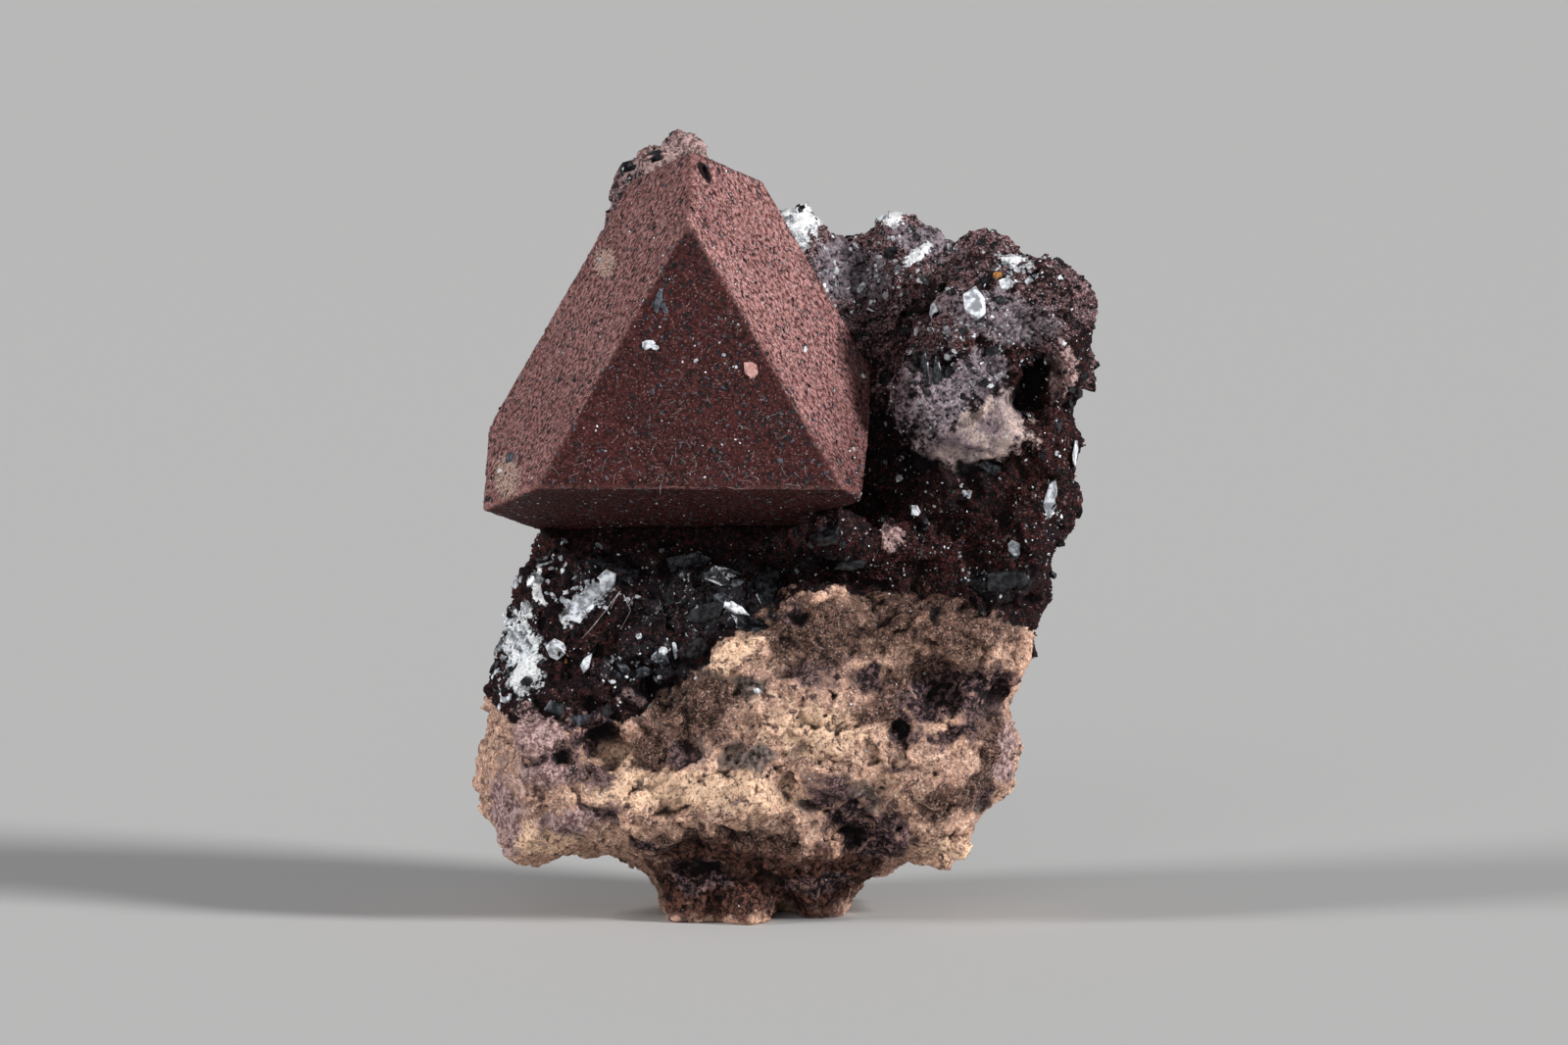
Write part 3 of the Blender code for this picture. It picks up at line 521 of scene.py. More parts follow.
class Nodes:
    """A material's node tree, with a short way to add and join nodes."""

    def __init__(self, name):
        self.material = bpy.data.materials.new(name)
        self.material.use_nodes = True
        self.tree = self.material.node_tree
        self.shader = self.tree.nodes["Principled BSDF"]

    def add(self, kind, inputs, output=0, **settings):
        """An output of a new node with those inputs, by name or number, and settings."""
        node = self.tree.nodes.new("ShaderNode" + kind)
        for name, value in settings.items():
            setattr(node, name, value)
        for name, value in inputs.items():
            self.feed(node.inputs[name], value)
        return node.outputs[output]

    def feed(self, socket, value):
        if isinstance(value, bpy.types.NodeSocket):
            self.tree.links.new(value, socket)
        else:
            socket.default_value = (*value, 1) if socket.type == "RGBA" else value

    def millimetres(self):
        """The place on the object, in millimetres."""
        place = self.add("TexCoord", {}, "Object")
        return self.add("VectorMath", {"Vector": place, "Scale": 1 / MM}, operation="SCALE")

    def noise(self, place, size, detail=3.0, roughness=0.55):
        inputs = {"Vector": place, "Scale": 1 / size, "Detail": detail, "Roughness": roughness}
        return self.add("TexNoise", inputs)

    def cells(self, place, size, feature="F1", output="Distance"):
        inputs = {"Vector": place, "Scale": 1 / size}
        return self.add("TexVoronoi", inputs, output, feature=feature)

    def warped(self, place, size, amount):
        """The place, pushed about by noise of that size."""
        push = self.add("TexNoise", {"Vector": place, "Scale": 1 / size}, "Color")
        push = self.add("VectorMath", {"Vector": push, "Scale": amount}, operation="SCALE")
        return self.add("VectorMath", {0: place, 1: push}, operation="ADD")

    def attribute(self, name):
        return self.add("Attribute", {}, "Fac", attribute_name=name)

    def maths(self, operation, *values):
        return self.add("Math", dict(enumerate(values)), operation=operation)

    def total(self, *terms, plus=0):
        """The values added up, each times its weight, and a number more."""
        for value, weight in terms:
            plus = self.maths("MULTIPLY_ADD", value, weight, plus)
        return plus

    def ramp(self, value, low, high, start=0, end=1):
        """The value from low to high, eased, as a share from start to end."""
        inputs = dict(enumerate((value, low, high, start, end)))
        return self.add("MapRange", inputs, interpolation_type="SMOOTHSTEP")

    def mix(self, share, first, second, blend="MIX"):
        inputs = {0: share, 6: first, 7: second}
        return self.add("Mix", inputs, 2, data_type="RGBA", blend_type=blend)

    def layers(self, colour, layers, values):
        """The colour with others over it, each where its value goes from low to high."""
        for name, low, high, over, *most in layers:
            colour = self.mix(self.ramp(values[name], low, high, 0, *most), colour, over)
        return colour

    def bump(self, height, distance, strength):
        inputs = {"Height": height, "Distance": distance * MM, "Strength": strength}
        return self.add("Bump", inputs)

    def finish(self, **inputs):
        for name, value in inputs.items():
            self.feed(self.shader.inputs[name.replace("_", " ")], value)
        return self.material


def rock_material():
    """Tan clay, dark hematite-stained rock and the patches, from the mesh's attributes."""
    n = Nodes("altered_rock")
    place = n.millimetres()
    medium = n.noise(place, 0.65, 4, 0.6)
    fine = n.noise(place, 0.21, 3, 0.65)
    grit = n.noise(place, 0.085, 2, 0.6)
    ragged = n.total((medium, 1.8), (fine, 1.3), plus=-1.55)

    def frayed(name):
        """A patch's share, with a ragged edge."""
        return n.maths("ADD", n.attribute(name), ragged)

    def covered(colour, patches):
        for stuff, (name, low, high) in patches.items():
            shares[stuff] = n.ramp(frayed(name), low, high)
            colour = n.mix(shares[stuff], colour, stuffs[stuff])
        return colour

    values = {"medium": medium, "fine": fine, "grit": grit, "warm": frayed("warm")}
    values["broad"] = n.noise(place, 2.2, 3)
    values["blots"] = n.noise(n.warped(place, 0.6, 0.5), 0.42, 4, 0.65)
    wavy = n.noise(n.warped(place, 0.5, 0.3), 0.36, 3, 0.6)
    values["veins"] = n.maths("ABSOLUTE", n.maths("SUBTRACT", wavy, 0.5))
    stuffs = {name: n.layers(ground, rows, values) for name, (ground, *rows) in STUFFS.items()}
    shares = {}
    dark = covered(stuffs["dark"], ON_DARK)
    clay = covered(stuffs["clay"], ON_CLAY)
    clay_here = n.attribute("clay")
    colour = n.mix(n.ramp(n.total((ragged, 0.6), plus=clay_here), 0.42, 0.58), dark, clay)
    colour = covered(colour, ON_BOTH)
    silvered, glossy = shares["silver"], shares["sheen"]

    # Painted shade in the clay's cracks, drawn as thin dark lines.
    cracks = n.cells(n.warped(place, 0.4, 0.6), 0.7, "DISTANCE_TO_EDGE")
    cracked = n.total((n.ramp(n.noise(place, 1.1), 0.53, 0.62), clay_here))
    cracks = n.total((n.ramp(cracks, 0.05, 0.01), cracked))
    colour = n.mix(n.total((cracks, 0.6)), colour, (0.05, 0.03, 0.027))

    # Painted shade: hollows and holes are darker. Crests are lighter.
    hollow = n.attribute("hollow")
    colour = n.mix(n.ramp(hollow, 0.52, 0.85, 0, 0.85), colour, (0.008, 0.005, 0.006))
    colour = n.mix(n.ramp(hollow, 0.47, 0.3), colour, (0.2, 0.18, 0.17), "DODGE")
    hole = n.ramp(frayed("hole"), 0.35, 0.95, 0, 0.9)
    colour = n.mix(hole, colour, (0.01, 0.008, 0.009))

    # The clay is softer than the dark rock, and the gloss is smoother.
    relief = n.total((fine, 0.75), (grit, 0.35), (medium, 0.6), (cracks, -0.25))
    matte = n.ramp(silvered, 0, 1, 0.85, 0.4)
    return n.finish(
        Base_Color=colour,
        Specular_IOR_Level=0.15,
        Roughness=n.total((glossy, -0.66), plus=matte),
        Metallic=n.total((silvered, 0.3)),
        Normal=n.bump(relief, 0.16, n.total((clay_here, -0.45), (glossy, -0.85), plus=1)),
    )


def crystal_material():
    """Brick red and matte, finely granular, with dark specks; paler on its etched sides, partly as
    painted light.
    """
    n = Nodes("zunyite")
    place = n.millimetres()
    fine = n.noise(place, 0.16, 3, 0.7)
    grit = n.noise(place, 0.08, 2, 0.7)
    values = {"broad": n.noise(place, 2.5, 2), "medium": n.noise(place, 0.5, 3), "grit": grit}

    # The tone paints light and shade: deep red on faces painted in shade, the paler etched red on
    # lit ones.
    tone = n.attribute("tone")
    grain = n.ramp(fine, 0.42, 0.58)
    deep = n.mix(grain, (0.006, 0.0008, 0.0007), (0.056, 0.0095, 0.0082))
    etched_and_lit = n.mix(grain, (0.085, 0.021, 0.018), (0.56, 0.275, 0.26))
    light = n.mix(tone, (0.27, 0.14, 0.14), (0.92, 0.68, 0.65))
    colour = n.layers(
        n.mix(tone, deep, etched_and_lit),
        (
            ("broad", 0.35, 0.65, (0.09, 0.016, 0.014), 0.3),
            ("medium", 0.6, 0.8, (0.28, 0.11, 0.095), 0.3),
            ("grit", 0.56, 0.64, (0.01, 0.005, 0.006), 0.9),
            ("grit", 0.41, 0.34, light, 0.8),
        ),
        values,
    )
    some = n.ramp(n.cells(place, 0.33, output="Color"), 0.55, 0.6)
    specks = n.total((n.ramp(n.cells(place, 0.33), 0.32, 0.22), some))
    colour = n.mix(n.total((specks, 0.9)), colour, (0.016, 0.014, 0.018))
    # Painted highlight along the edges, partly wear.
    colour = n.mix(n.attribute("worn"), colour, (0.4, 0.18, 0.16))
    dust = n.mix(n.ramp(grit, 0.4, 0.6), (0.13, 0.06, 0.05), (0.6, 0.42, 0.35))
    dusty = n.ramp(n.total((fine, 1), (n.attribute("dust"), 1), plus=-0.5), 0.4, 0.6)
    colour = n.mix(dusty, colour, dust)
    # Painted shade in the notches.
    colour = n.mix(n.ramp(n.attribute("notch"), 0.42, 0.55), colour, (0.01, 0.004, 0.004))

    relief = n.total((fine, 0.7), (grit, 0.4), (specks, -0.5))
    return n.finish(
        Base_Color=colour,
        Specular_IOR_Level=0.15,
        Roughness=n.ramp(fine, 0.3, 0.7, 0.5, 0.75),
        Normal=n.bump(relief, 0.06, 0.9),
    )


def metal_material(name, dull, bright, roughness, metallic):
    n = Nodes(name)
    fine = n.noise(n.millimetres(), 0.25, 3)
    return n.finish(
        Base_Color=n.mix(n.ramp(fine, 0.4, 0.6), dull, bright),
        Roughness=n.ramp(fine, 0.3, 0.7, roughness - 0.08, roughness + 0.12),
        Metallic=metallic,
        Normal=n.bump(fine, 0.05, 0.8),
    )


# The crystal


def diced(mesh, spacing):
    """The same surface, cut along planes that far apart on each axis."""
    shape = bmesh.new()
    shape.from_mesh(mesh)
    bmesh.ops.remove_doubles(shape, verts=shape.verts, dist=0.001 * MM)
    bmesh.ops.dissolve_limit(shape, angle_limit=radians(0.5), verts=shape.verts, edges=shape.edges)
    places = coordinates(mesh)
    for axis in range(3):
        normal = [float(i == axis) for i in range(3)]
        for at in np.arange(places[:, axis].min() + spacing / 2, places[:, axis].max(), spacing):
            whole = shape.verts[:] + shape.edges[:] + shape.faces[:]
            point = [at * MM * number for number in normal]
            bmesh.ops.bisect_plane(shape, geom=whole, dist=1e-7, plane_co=point, plane_no=normal)
    bmesh.ops.triangulate(shape, faces=shape.faces)
    made = bpy.data.meshes.new("diced")
    shape.to_mesh(made)
    shape.free()
    return made


def face_tones(points, outward):
    """Each point's tone by its face: partly its etching, partly painted light and shade."""
    x, _, z = points.T
    right, away, up = outward.T
    # Painted shade: the right face darker lower down and in the tower's shadow by its right edge.
    low = smooth(z + 0.6 * waves(points / 2, 9), 21.5, 16.5)
    shaded = smooth(x, 0.9, 2.9) * smooth(z, 23.5, 19.5)
    etched_and_lit = FACE_TONES["right"] - 0.35 * low - 0.35 * shaded
    # The right face is painted lit; the front and the bottom are painted in shade.
    side = away > -0.6
    faces = (up < -0.85, (right < -0.7) & side, (right > 0.7) & side, away < -0.9)
    tones = (FACE_TONES["below"], FACE_TONES["left"], etched_and_lit, FACE_TONES["front"])
    return np.select(faces, tones, FACE_TONES["corner"])


def crystal_piece(node):
    mesh = diced(node.data, CRYSTAL_CELL)
    points = coordinates(mesh)
    outward = normals(mesh)
    tone = face_tones(points, outward)

    past = np.clip((points - CRYSTAL_CUT[0]) @ CRYSTAL_CUT[1], 0, None)
    points -= past[:, None] * CRYSTAL_CUT[1]
    bend = 1 - norm(eased(mesh, outward, 2), axis=1)
    # Lighter edges: partly wear, partly a painted highlight along them.
    worn = smooth(bend, 0.02, 0.12) * (0.55 + 0.35 * waves(points / 0.5, 3))

    rough = 0.018 * waves(points / 0.35, 1) + 0.012 * waves(points / 0.16, 2)
    chipped = 0.1 * smooth(waves(points / 0.6, 5), 0.15, 0.6) * smooth(bend, 0.02, 0.1)
    points += outward * (rough - chipped)[:, None]
    set_coordinates(mesh, points)
    dust, notch = blob_share(points, CRYSTAL_DUST), blob_share(points, CRYSTAL_NOTCH_SHADES)
    add_attributes(mesh, tone=tone, worn=np.clip(worn, 0, 1) * 0.6, dust=dust, notch=notch)
    mesh.shade_smooth()
    mesh.set_sharp_from_angle(angle=radians(40))
    mesh.materials.clear()
    return link("zunyite_skin", mesh, crystal_material())


# The rock


def blob_share(points, blobs):
    """How far inside the nearest blob each point is: 1 at a centre, 0.5 at the edge, 0 beyond."""
    share = np.zeros(len(points))
    for x, y, z, width, height, *rest in blobs:
        lean, depth = (*rest, *(0, 2)[len(rest) :])
        away = points - (x, y, z)
        turn = radians(lean)
        across = away[:, 0] * cos(turn) + away[:, 2] * sin(turn)
        up = -away[:, 0] * sin(turn) + away[:, 2] * cos(turn)
        reach = np.sqrt((across / width) ** 2 + (away[:, 1] / depth) ** 2 + (up / height) ** 2)
        share = np.maximum(share, np.clip(1 - reach / 2, 0, 1))
    return share


def rock_masks(points):
    """Each patch's share at each point, and the clay's: 0.5 at the edge."""
    x, y, z = points.T
    wobble = 0.3 * layered(points / 1.1, 20)
    masks = {}
    for name, blobs in PATCHES.items():
        masks[name] = smooth(blob_share(points + wobble[:, None], blobs), 0.2, 0.8)

    back_edge = CLAY_EDGE_BEHIND + 1.2 * layered(points / 4, 23)
    front_edge = np.interp(x, *zip(*CLAY_EDGE))
    behind = smooth(y, -1.5, 1.5)
    edge = front_edge * (1 - behind) + back_edge * behind
    masks["clay"] = smooth(edge - z + wobble, -0.35, 0.35)

    # The dust lies on top and behind.
    dusty = 0.45 * layered(points / 2.6, 26)
    dusty = dusty + 0.65 * smooth(z + 2.2 * layered(points / 3, 27), 18.5, 23)
    dusty += 0.55 * smooth(y, 0, 3.0)
    masks["dusty"] = np.clip(dusty, 0, 1)
    return masks


def hole_depth(points):
    """How deep each point is in a hole, as a share and in millimetres."""
    share = np.zeros(len(points))
    depth = np.zeros(len(points))
    push = np.stack([0.3 * layered(points / 0.7, 60 + 7 * axis) for axis in range(3)], axis=1)
    for deepest, *blob in HOLES:
        inside = smooth(blob_share(points + push, [blob]), 0.4, 0.78)
        share = np.maximum(share, inside)
        depth = np.maximum(depth, inside * deepest)
    return share, depth


def facets(points, size, seed, tilt, step):
    """Broken facets, tilted and stepped at random, in millimetres, and the gaps between."""
    warped = points / size + 0.25 * layered(points / (0.7 * size), seed + 90, 2)[:, None]
    gap, offset, luck = grains(warped, seed)
    return size * tilt * (offset * luck).sum(axis=1) + step * luck[:, 0], gap


def rock_relief(points, masks):
    """How far out each point of the rock's surface moves, by its stuff."""
    clay = masks["clay"]
    swell = 0.13 * layered(points / 1.9, 1) - 0.08

    # The clay is lumpy, cracked and pitted.
    plane, gap = facets(points, 1.5, 2, 0.24, 0.07)
    small, _ = facets(points, 0.45, 40, 0.16, 0.03)
    rough = 0.1 * layered(points / 0.7, 3) + 0.025 * waves(points / 0.2, 5)
    crack = smooth(gap, 0.08, 0) * smooth(waves(points / 2, 6), -0.1, 0.3)
    pit = smooth(layered(points / 0.6, 7), 0.5, 0.85)
    clay_relief = plane + small + rough - 0.09 * crack - 0.25 * pit

    # The dark rock is broken in steeper facets, with ridges between.
    plane, _ = facets(points, 1.25, 9, 0.36, 0.1)
    small, _ = facets(points, 0.4, 41, 0.38, 0.045)
    ridge = 0.18 * (0.3 - np.abs(layered(points / 1.4, 11)))
    pit = smooth(layered(points / 0.9, 12), 0.45, 0.75)
    dark_relief = plane + small + ridge + 0.035 * waves(points / 0.2, 13) - 0.3 * pit

    # Some patches are smoother, and so is the top.
    calm = 1 - 0.8 * np.max([share * masks[name] for name, share in STILL.items()], axis=0)
    calm = calm * (1 - 0.35 * smooth(points[:, 2], 21, 24))
    return swell + calm * (clay * clay_relief + (1 - clay) * dark_relief)


def seat(points, near, tree):
    """Draws the rock's edge onto the crystal's surface, so that no gap shows."""
    moved = points.copy()
    for i in np.nonzero(near < SEAT_REACH)[0]:
        point = Vector(points[i])
        place, outward, _, distance = tree.find_nearest(point)
        if (point - place).dot(outward) < 0:
            continue
        pull = (1 - distance / SEAT_REACH) ** 0.5
        moved[i] = point.lerp(place - outward * SEAT_DEPTH, pull)
    return moved


def nearness(points, tree, reach):
    """How far each point is from the crystal, up to the reach."""
    near = np.full(len(points), reach)
    for i in np.nonzero((points[:, 1] < 3) & (points[:, 2] > 11))[0]:
        found = tree.find_nearest(Vector(points[i]), reach)[3]
        if found is not None:
            near[i] = found
    return near


def rock_skin(node, tree):
    """The rock's whole surface, with its relief and what its material reads."""
    piece = link("matrix_skin", node.data.copy())
    piece.matrix_world = node.matrix_world
    fuse = piece.modifiers.new("fuse", "REMESH")
    fuse.mode = "VOXEL"
    fuse.voxel_size = ROCK_CELL * MM
    ease = piece.modifiers.new("ease", "SMOOTH")
    ease.factor = 0.5
    ease.iterations = ROCK_EASING
    graph = bpy.context.evaluated_depsgraph_get()
    mesh = bpy.data.meshes.new_from_object(piece.evaluated_get(graph))
    piece.modifiers.clear()
    piece.data = mesh

    points = coordinates(mesh)
    masks = rock_masks(points)
    outward = normals(mesh)
    near = nearness(points, tree, 1.2)
    holes, depth = hole_depth(points)
    points = seat(points, near, tree)
    freedom = smooth(near, 0, 1) * smooth(points[:, 2], 0, 0.5)
    points = points + outward * (rock_relief(points, masks) * freedom)[:, None]
    points[:, 1] += depth * smooth(-outward[:, 1], 0, 0.5) * smooth(near, 0.2, 0.6)
    points[:, 2] = np.maximum(points[:, 2], 0)
    set_coordinates(mesh, points)

    # A point is in a hollow where the surface around it, eased, lies further out.
    outward = normals(mesh)
    small = ((eased(mesh, points, 12) - points) * outward).sum(axis=1)
    large = ((eased(mesh, points, 140) - points) * outward).sum(axis=1)
    # The material paints shade where this is high and lightens crests where it is low.
    hollow = np.clip(0.5 + 1.6 * small + 0.45 * large, 0, 1)
    # Painted shade in the holes, mostly where their sides face the front.
    hole = holes * smooth(-outward[:, 1], -0.2, 0.3)
    add_attributes(mesh, **masks, hollow=hollow, hole=hole)
    mesh.shade_smooth()
    mesh.materials.clear()
    mesh.materials.append(rock_material())
    return piece


def half(skin, name, keep_above):
    """The part of the skin on one side of the cut, closed there."""
    shape = bmesh.new()
    shape.from_mesh(skin.data)
    whole = shape.verts[:] + shape.edges[:] + shape.faces[:]
    cut = bmesh.ops.bisect_plane(
        shape, geom=whole, dist=1e-8, plane_co=(0, 0, ROCK_CUT * MM), plane_no=(0, 0, 1),
        clear_inner=keep_above, clear_outer=not keep_above,
    )
    rim = [part for part in cut["geom_cut"] if isinstance(part, bmesh.types.BMEdge)]
    made = bmesh.ops.triangle_fill(shape, edges=rim, use_beauty=False)
    lids = [part for part in made["geom"] if isinstance(part, bmesh.types.BMFace)]
    bmesh.ops.recalc_face_normals(shape, faces=lids)
    for face in lids:
        if (face.normal.z > 0) == keep_above:
            face.normal_flip()
    for part in lids + rim:
        part.smooth = False
    return piece_of(name, shape, skin.data.materials[0])


def crumbs(name, rng, rock, weight, count, small, large):
    """Loose grains stuck on the rock, of its own stuff."""
    places, facings, widths = sized(rng, rock.data, weight, count, small, large, 1, 4)
    ball = bmesh.new()
    bmesh.ops.create_icosphere(ball, subdivisions=1, radius=0.5)
    shape = np.array([tuple(vertex.co) for vertex in ball.verts])
    corners = [[vertex.index for vertex in face.verts] for face in ball.faces]
    ball.free()
    shapes = shape[None] * (1 + 0.28 * rng.normal(size=(count, len(shape), 1)).clip(-1.5, 1.5))
    shapes = shapes * rng.uniform(0.55, 1.25, size=(count, 1, 3)) * widths[:, None, None]
    sunk = facings * (0.22 * widths)[:, None]
    vertices = (shapes + (places - sunk)[:, None]).reshape(-1, 3)
    faces = [[len(shape) * i + v for v in face] for i in range(count) for face in corners]
    mesh = mesh_of(name, vertices, faces)
    masks = rock_masks(np.repeat(places, len(shape), axis=0))
    hollow = np.full(len(vertices), CRUMB_HOLLOW)
    add_attributes(mesh, **masks, hollow=hollow, hole=np.zeros(len(vertices)))
    return link(name, mesh, rock.data.materials[0])


# Hematite


def scatter(rng, mesh, weight, count):
    """Random points on the mesh's surface with their normals, more where the weight is high."""
    corners = triangles(mesh)
    outward = normals(mesh)
    sides = coordinates(mesh)[corners]
    across = np.cross(sides[:, 1] - sides[:, 0], sides[:, 2] - sides[:, 0])
    area = norm(across, axis=1) / 2
    chance = area * weight[corners].mean(axis=1)
    picked = rng.choice(len(corners), size=count, p=chance / chance.sum())
    share = rng.dirichlet((1, 1, 1), size=count)[:, :, None]
    return (sides[picked] * share).sum(axis=1), (outward[corners[picked]] * share).sum(axis=1)


def sized(rng, mesh, weight, count, small, large, *skew):
    """Points scattered the same way with their normals, and a width for each."""
    found = scatter(rng, mesh, weight, count)
    return *found, small + (large - small) * rng.beta(*skew, size=count)


PLATE_SIDES = 6
PLATE_RINGS = ((-0.5, 1), (0.5, 0.84))  # height and width, as shares of the plate's
PLATE_FACES = PLATE_SIDES + 2


def plate_mesh(name, rng, places, facings, widths, thickness, tilt, narrow):
    """Thin six-sided plates, each turned off its facing by about the tilt."""
    count = len(places)
    facing = unit(unit(facings) + tilt * rng.normal(size=(count, 3)))
    along = unit(np.cross(facing, rng.normal(size=(count, 3))))
    across = np.cross(facing, along)
    squeeze = rng.uniform(*narrow, size=count)
    rings = []
    for height, share in PLATE_RINGS:
        for side in range(PLATE_SIDES):
            angle = side * tau / PLATE_SIDES
            radius = 0.5 * widths * share * (1 + 0.16 * np.sin(side * 2.4 + 9 * squeeze))
            rings.append(
                places
                + along * (radius * cos(angle))[:, None]
                + across * (radius * squeeze * sin(angle))[:, None]
                + facing * (widths * thickness * height)[:, None]
            )
    vertices = np.stack(rings, axis=1).reshape(-1, 3)
    faces = [tuple(range(PLATE_SIDES))[::-1], tuple(range(PLATE_SIDES, 2 * PLATE_SIDES))]
    for i in range(PLATE_SIDES):
        j = (i + 1) % PLATE_SIDES
        faces.append((i, j, PLATE_SIDES + j, PLATE_SIDES + i))
    every = [tuple(len(rings) * i + v for v in face) for i in range(count) for face in faces]
    return mesh_of(name, vertices, every)


def viewer():
    """Where the specimen is looked at from."""
    back = Vector((0, -cos(VIEW_ELEVATION), sin(VIEW_ELEVATION)))
    return Vector(VIEW_TARGET) + back * VIEW_DISTANCE


def seen(tree, x, z):
    """The way to X and Z from the front, and the place and facing of what is seen there."""
    eye = viewer()
    way = (Vector((x, VIEW_TARGET[1], z)) - eye).normalized()
    return way, *tree.ray_cast(eye, way)[:2]


def slabs(name, rng, rows, tree, loose, material):
    """Broad, stepped, slightly domed plates, turned towards the viewer where they are loose."""
    shape = bmesh.new()
    for x, z, width, height, lean in rows:
        way, place, outward = seen(tree, x, z)
        place = place + loose * SLAB_LIFT * outward
        turned = 0.22 * Vector(rng.normal(size=3)) - 0.8 * way
        facing = (0.55 * outward + loose * turned).normalized()
        turn = radians(lean)
        along = Vector((cos(turn), 0, sin(turn)))
        along = (along - facing * along.dot(facing)).normalized()
        across = facing.cross(along)
        corners = int(rng.integers(5, 9))
        reach = rng.uniform(0.75, 1.2, size=corners)
        angles = (np.arange(corners) + rng.uniform(-0.25, 0.25, size=corners)) * tau / corners
        rise = 0.03 + 0.04 * min(width, height)
        rings = []
        for lift, share in ((-SLAB_DEPTH, 0.9), (0, 1), (0.8 * rise, 0.92), (rise, 0.6)):
            ring = []
            for angle, far in zip(angles, reach):
                jitter = 1 + 0.06 * rng.normal()
                spot = place + along * (0.5 * width * share * far * jitter * cos(angle))
                spot += across * (0.5 * height * share * far * jitter * sin(angle))
                spot += facing * (lift + (0.25 * rise * rng.normal() if lift > 0 else 0))
                ring.append(shape.verts.new(spot * MM))
            rings.append(ring)
        peak = shape.verts.new((place + facing * rise * 1.1) * MM)
        for low, high in zip(rings, rings[1:]):
            add_sides(shape, low, high)
        for i in range(corners):
            shape.faces.new((rings[-1][i], rings[-1][(i + 1) % corners], peak))
        shape.faces.new(rings[0][::-1])
    return piece_of(name, shape, material)


def hairs(name, paths, material, width):
    """Thin fibres, each a four-sided tube that narrows along its path."""
    shape = bmesh.new()
    for path in paths:
        path = [Vector(spot) for spot in path]
        last = len(path) - 1
        rings = []
        for i, spot in enumerate(path):
            way = (path[min(i + 1, last)] - path[max(i - 1, 0)]).normalized()
            radius = 0.5 * width * (1 - 0.6 * i / last)
            side = way.cross(Vector((0.3, -1, 0.2))).normalized()
            up = way.cross(side)
            ring = [spot + out * radius for out in (side, up, -side, -up)]
            rings.append([shape.verts.new(corner * MM) for corner in ring])
        for low, high in zip(rings, rings[1:]):
            add_sides(shape, low, high)
        shape.faces.new(rings[0][::-1])
        shape.faces.new(rings[-1])
    bmesh.ops.recalc_face_normals(shape, faces=shape.faces)
    return piece_of(name, shape, material)


def clusters(rng, rock, clear, silver, steel):
    """The bright masses of small plates, some of them duller."""
    points = coordinates(rock.data)
    found = []
    for count, small, large, *blob in CLUSTERS:
        weight = blob_share(points, [blob]) ** 3 * clear
        found.append(sized(rng, rock.data, weight, count, small, large, 1.2, 3))
    places, facings, widths = map(np.concatenate, zip(*found))
    mesh = plate_mesh("silver_clusters", rng, places, facings, widths, *CLUSTER_PLATES)
    dull = rng.random(len(mesh.polygons) // PLATE_FACES) < STEEL_SHARE
    piece = link("silver_clusters", mesh, silver, steel)
    mesh.polygons.foreach_set("material_index", np.repeat(dull, PLATE_FACES).astype(np.int32))
    return piece


def crystal_hairs(rng, crystal, material):
    """Curved fibres on the crystal, mostly low on its front."""
    low_front = smooth(coordinates(crystal.data)[:, 2], 21, 17)
    weight = low_front * (normals(crystal.data)[:, 1] < -0.9) + 0.08
    paths = []
    for spot, outward in zip(*scatter(rng, crystal.data, weight, HAIR_COUNT)):
        way = np.cross(outward, rng.normal(size=3))
        way /= norm(way)
        bend = np.cross(outward, way) * rng.uniform(-0.6, 0.6)
        length = rng.uniform(0.15, 0.5)
        start = spot + outward * 0.01
        steps = np.linspace(0, 1, 5)
        paths.append([start + way * length * t + bend * length * t * t for t in steps])
    return hairs("crystal_fibres", paths, material, HAIR_WIDTH)


def hematite(rock, crystal, masks, clear):
    """The plates, flakes and fibres on the rock and on the crystal."""
    rng = np.random.default_rng(11)
    metals = {name: metal_material(name, *looks) for name, looks in METALS.items()}
    rock_tree = surface_tree(rock.data)
    crystal_tree = surface_tree(crystal.data)
    pieces = []
    for name, (metal, *rows) in SLABS.items():
        bearer = (crystal_tree, ON_CRYSTAL) if name.startswith("crystal") else (rock_tree, 1)
        pieces.append(slabs(name, rng, rows, *bearer, metals[metal]))
    fibres = []
    for line in FIBRES:
        spots = [seen(rock_tree, x, z) for x, z in line]
        fibres.append([place - FIBRE_LIFT * way for way, place, _ in spots])
    pieces.append(hairs("shelf_fibres", fibres, metals["fibre"], FIBRE_WIDTH))
    pieces.append(clusters(rng, rock, clear, metals["silver_hematite"], metals["steel_hematite"]))

    dark = (np.clip(1 - masks["clay"], 0, 1) + 0.04) * (1 - masks["pale"])
    weights = {"hematite_glints": dark * clear, "dark_plates": dark**2 * clear}
    everywhere = np.ones(len(crystal.data.vertices))
    for name, (metal, *how, thickness, tilt, narrow) in SCATTERED.items():
        bearer = rock if name in weights else crystal
        found = sized(rng, bearer.data, weights.get(name, everywhere), *how, 1, 3.5)
        mesh = plate_mesh(name, rng, *found, thickness, tilt, narrow)
        pieces.append(link(name, mesh, metals[metal]))
    pieces.append(crystal_hairs(rng, crystal, metals["fibre"]))
    return pieces


# The stage


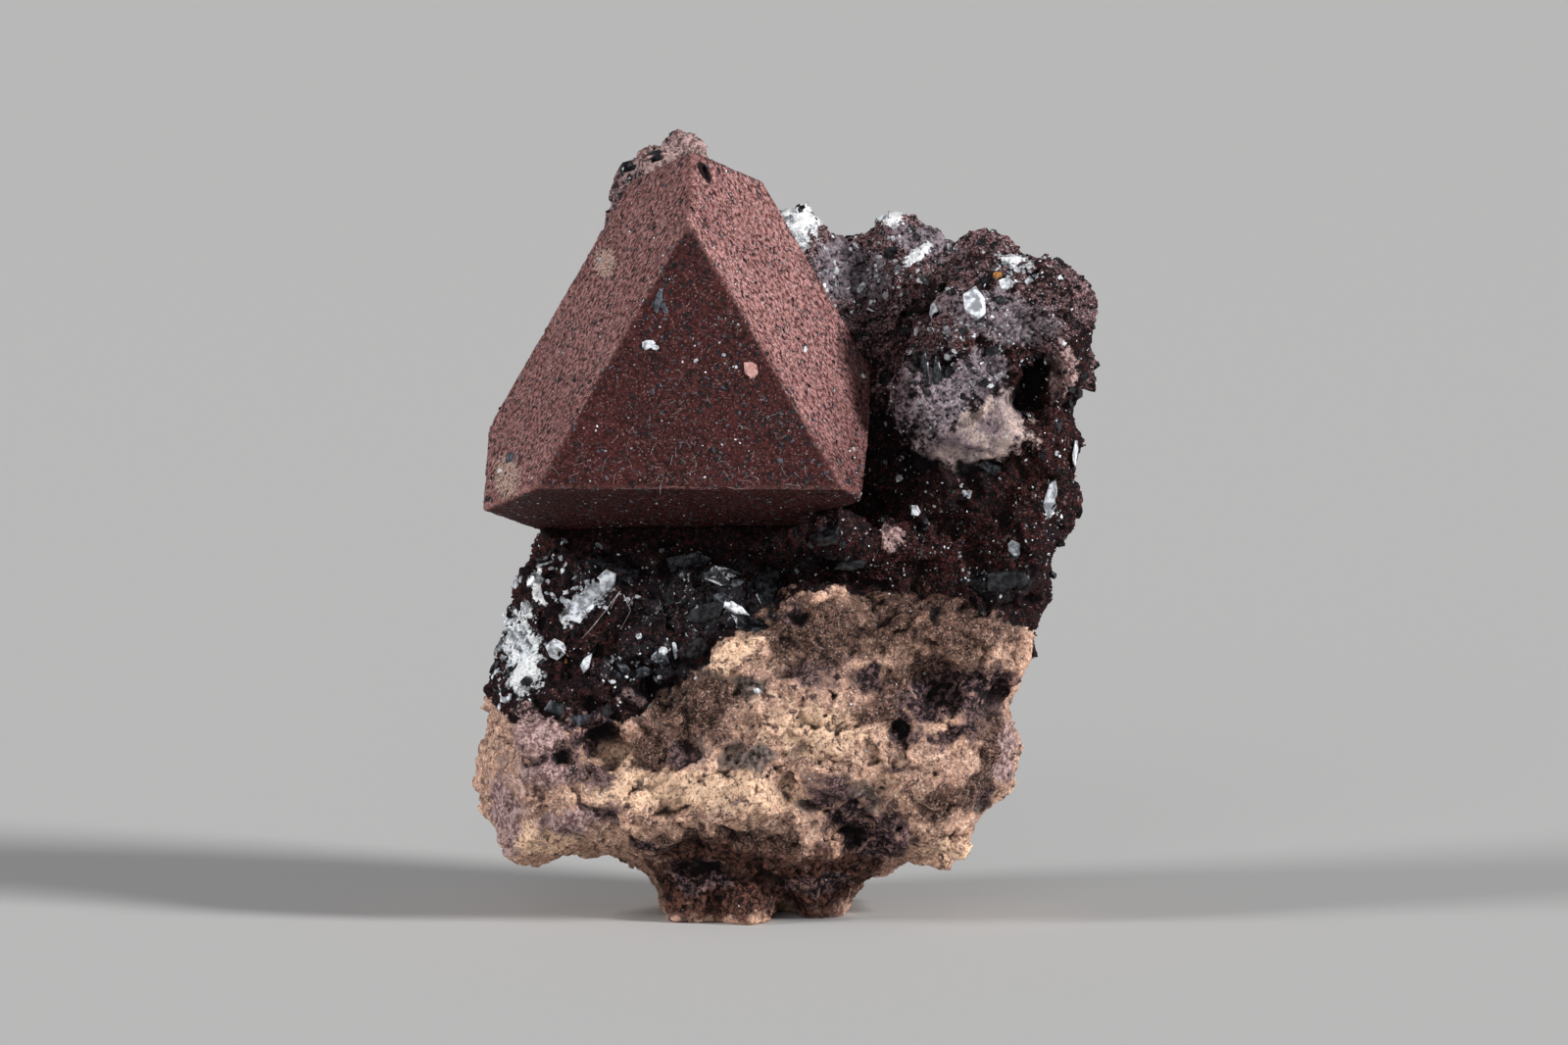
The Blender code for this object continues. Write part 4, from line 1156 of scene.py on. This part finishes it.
def stage():
    bpy.ops.mesh.primitive_circle_add(vertices=96, radius=FLOOR_RADIUS * MM, fill_type="NGON")
    floor = bpy.context.object
    floor.name = "floor"
    floor.data.materials.append(Nodes("floor").finish(Base_Color=FLOOR_COLOUR, Roughness=0.8))

    world = bpy.data.worlds.new("studio")
    world.use_nodes = True
    background = world.node_tree.nodes["Background"]
    background.inputs["Color"].default_value = (*WORLD_COLOUR, 1)
    background.inputs["Strength"].default_value = WORLD_STRENGTH
    bpy.context.scene.world = world

    for name, (way, strength, width) in LIGHTS.items():
        data = bpy.data.lights.new(name, "SUN")
        data.angle = radians(width)
        data.energy = strength
        lamp = link(name, data)
        lamp.location = (Vector(VIEW_TARGET) + Vector(way) * VIEW_DISTANCE) * MM
        lamp.rotation_euler = (-Vector(way)).to_track_quat("-Z", "Y").to_euler()

    data = bpy.data.cameras.new("camera")
    data.lens = LENS
    data.sensor_width = SENSOR
    data.clip_start = 0.01
    camera = link("camera", data)
    camera.location = viewer() * MM
    camera.rotation_euler = (pi / 2 - VIEW_ELEVATION, 0, 0)
    bpy.context.scene.camera = camera
    bpy.context.scene.view_settings.view_transform = "Standard"


def main():
    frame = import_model()
    stage()
    crystal_node = frame["nodes"]["zunyite_crystal"]

    crystal_tree = surface_tree(crystal_node.data)
    crystal = crystal_piece(crystal_node)
    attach(crystal, BODY)
    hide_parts("zunyite_crystal")

    rock = rock_skin(frame["nodes"]["matrix_rock"], crystal_tree)
    points = coordinates(rock.data)
    height = points[:, 2]
    masks = rock_masks(points)

    # Loose things keep clear of the crystal, the floor and the holes.
    clear = smooth(nearness(points, crystal_tree, 0.8), 0.35, 0.5)
    clear = clear * smooth(height, 0.2, 0.6) * (1 - hole_depth(points)[0])
    on_clay = (masks["clay"] * (1 - 0.8 * masks["stain_and_shade"]) + 0.02) * clear
    in_dark = (1.02 - masks["clay"]) * (1 - masks["pale"]) * (1 - masks["silver"]) * clear
    in_dark = in_dark * (1 - 0.6 * smooth(height, 18, 21))
    rng = np.random.default_rng(5)
    loose = [
        crumbs("clay_crumbs", rng, rock, on_clay, *CRUMBS["clay_crumbs"]),
        crumbs("dark_crumbs", rng, rock, in_dark, *CRUMBS["dark_crumbs"]),
    ]
    plates = hematite(rock, crystal, masks, clear)
    halves = [half(rock, "matrix_lower", False), half(rock, "matrix_upper", True)]
    bpy.data.objects.remove(rock)
    for piece in halves:
        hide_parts("matrix_rock")
    for piece in halves + loose:
        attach(piece, BODY)
    for piece in plates:
        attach(piece, BODY)


main()
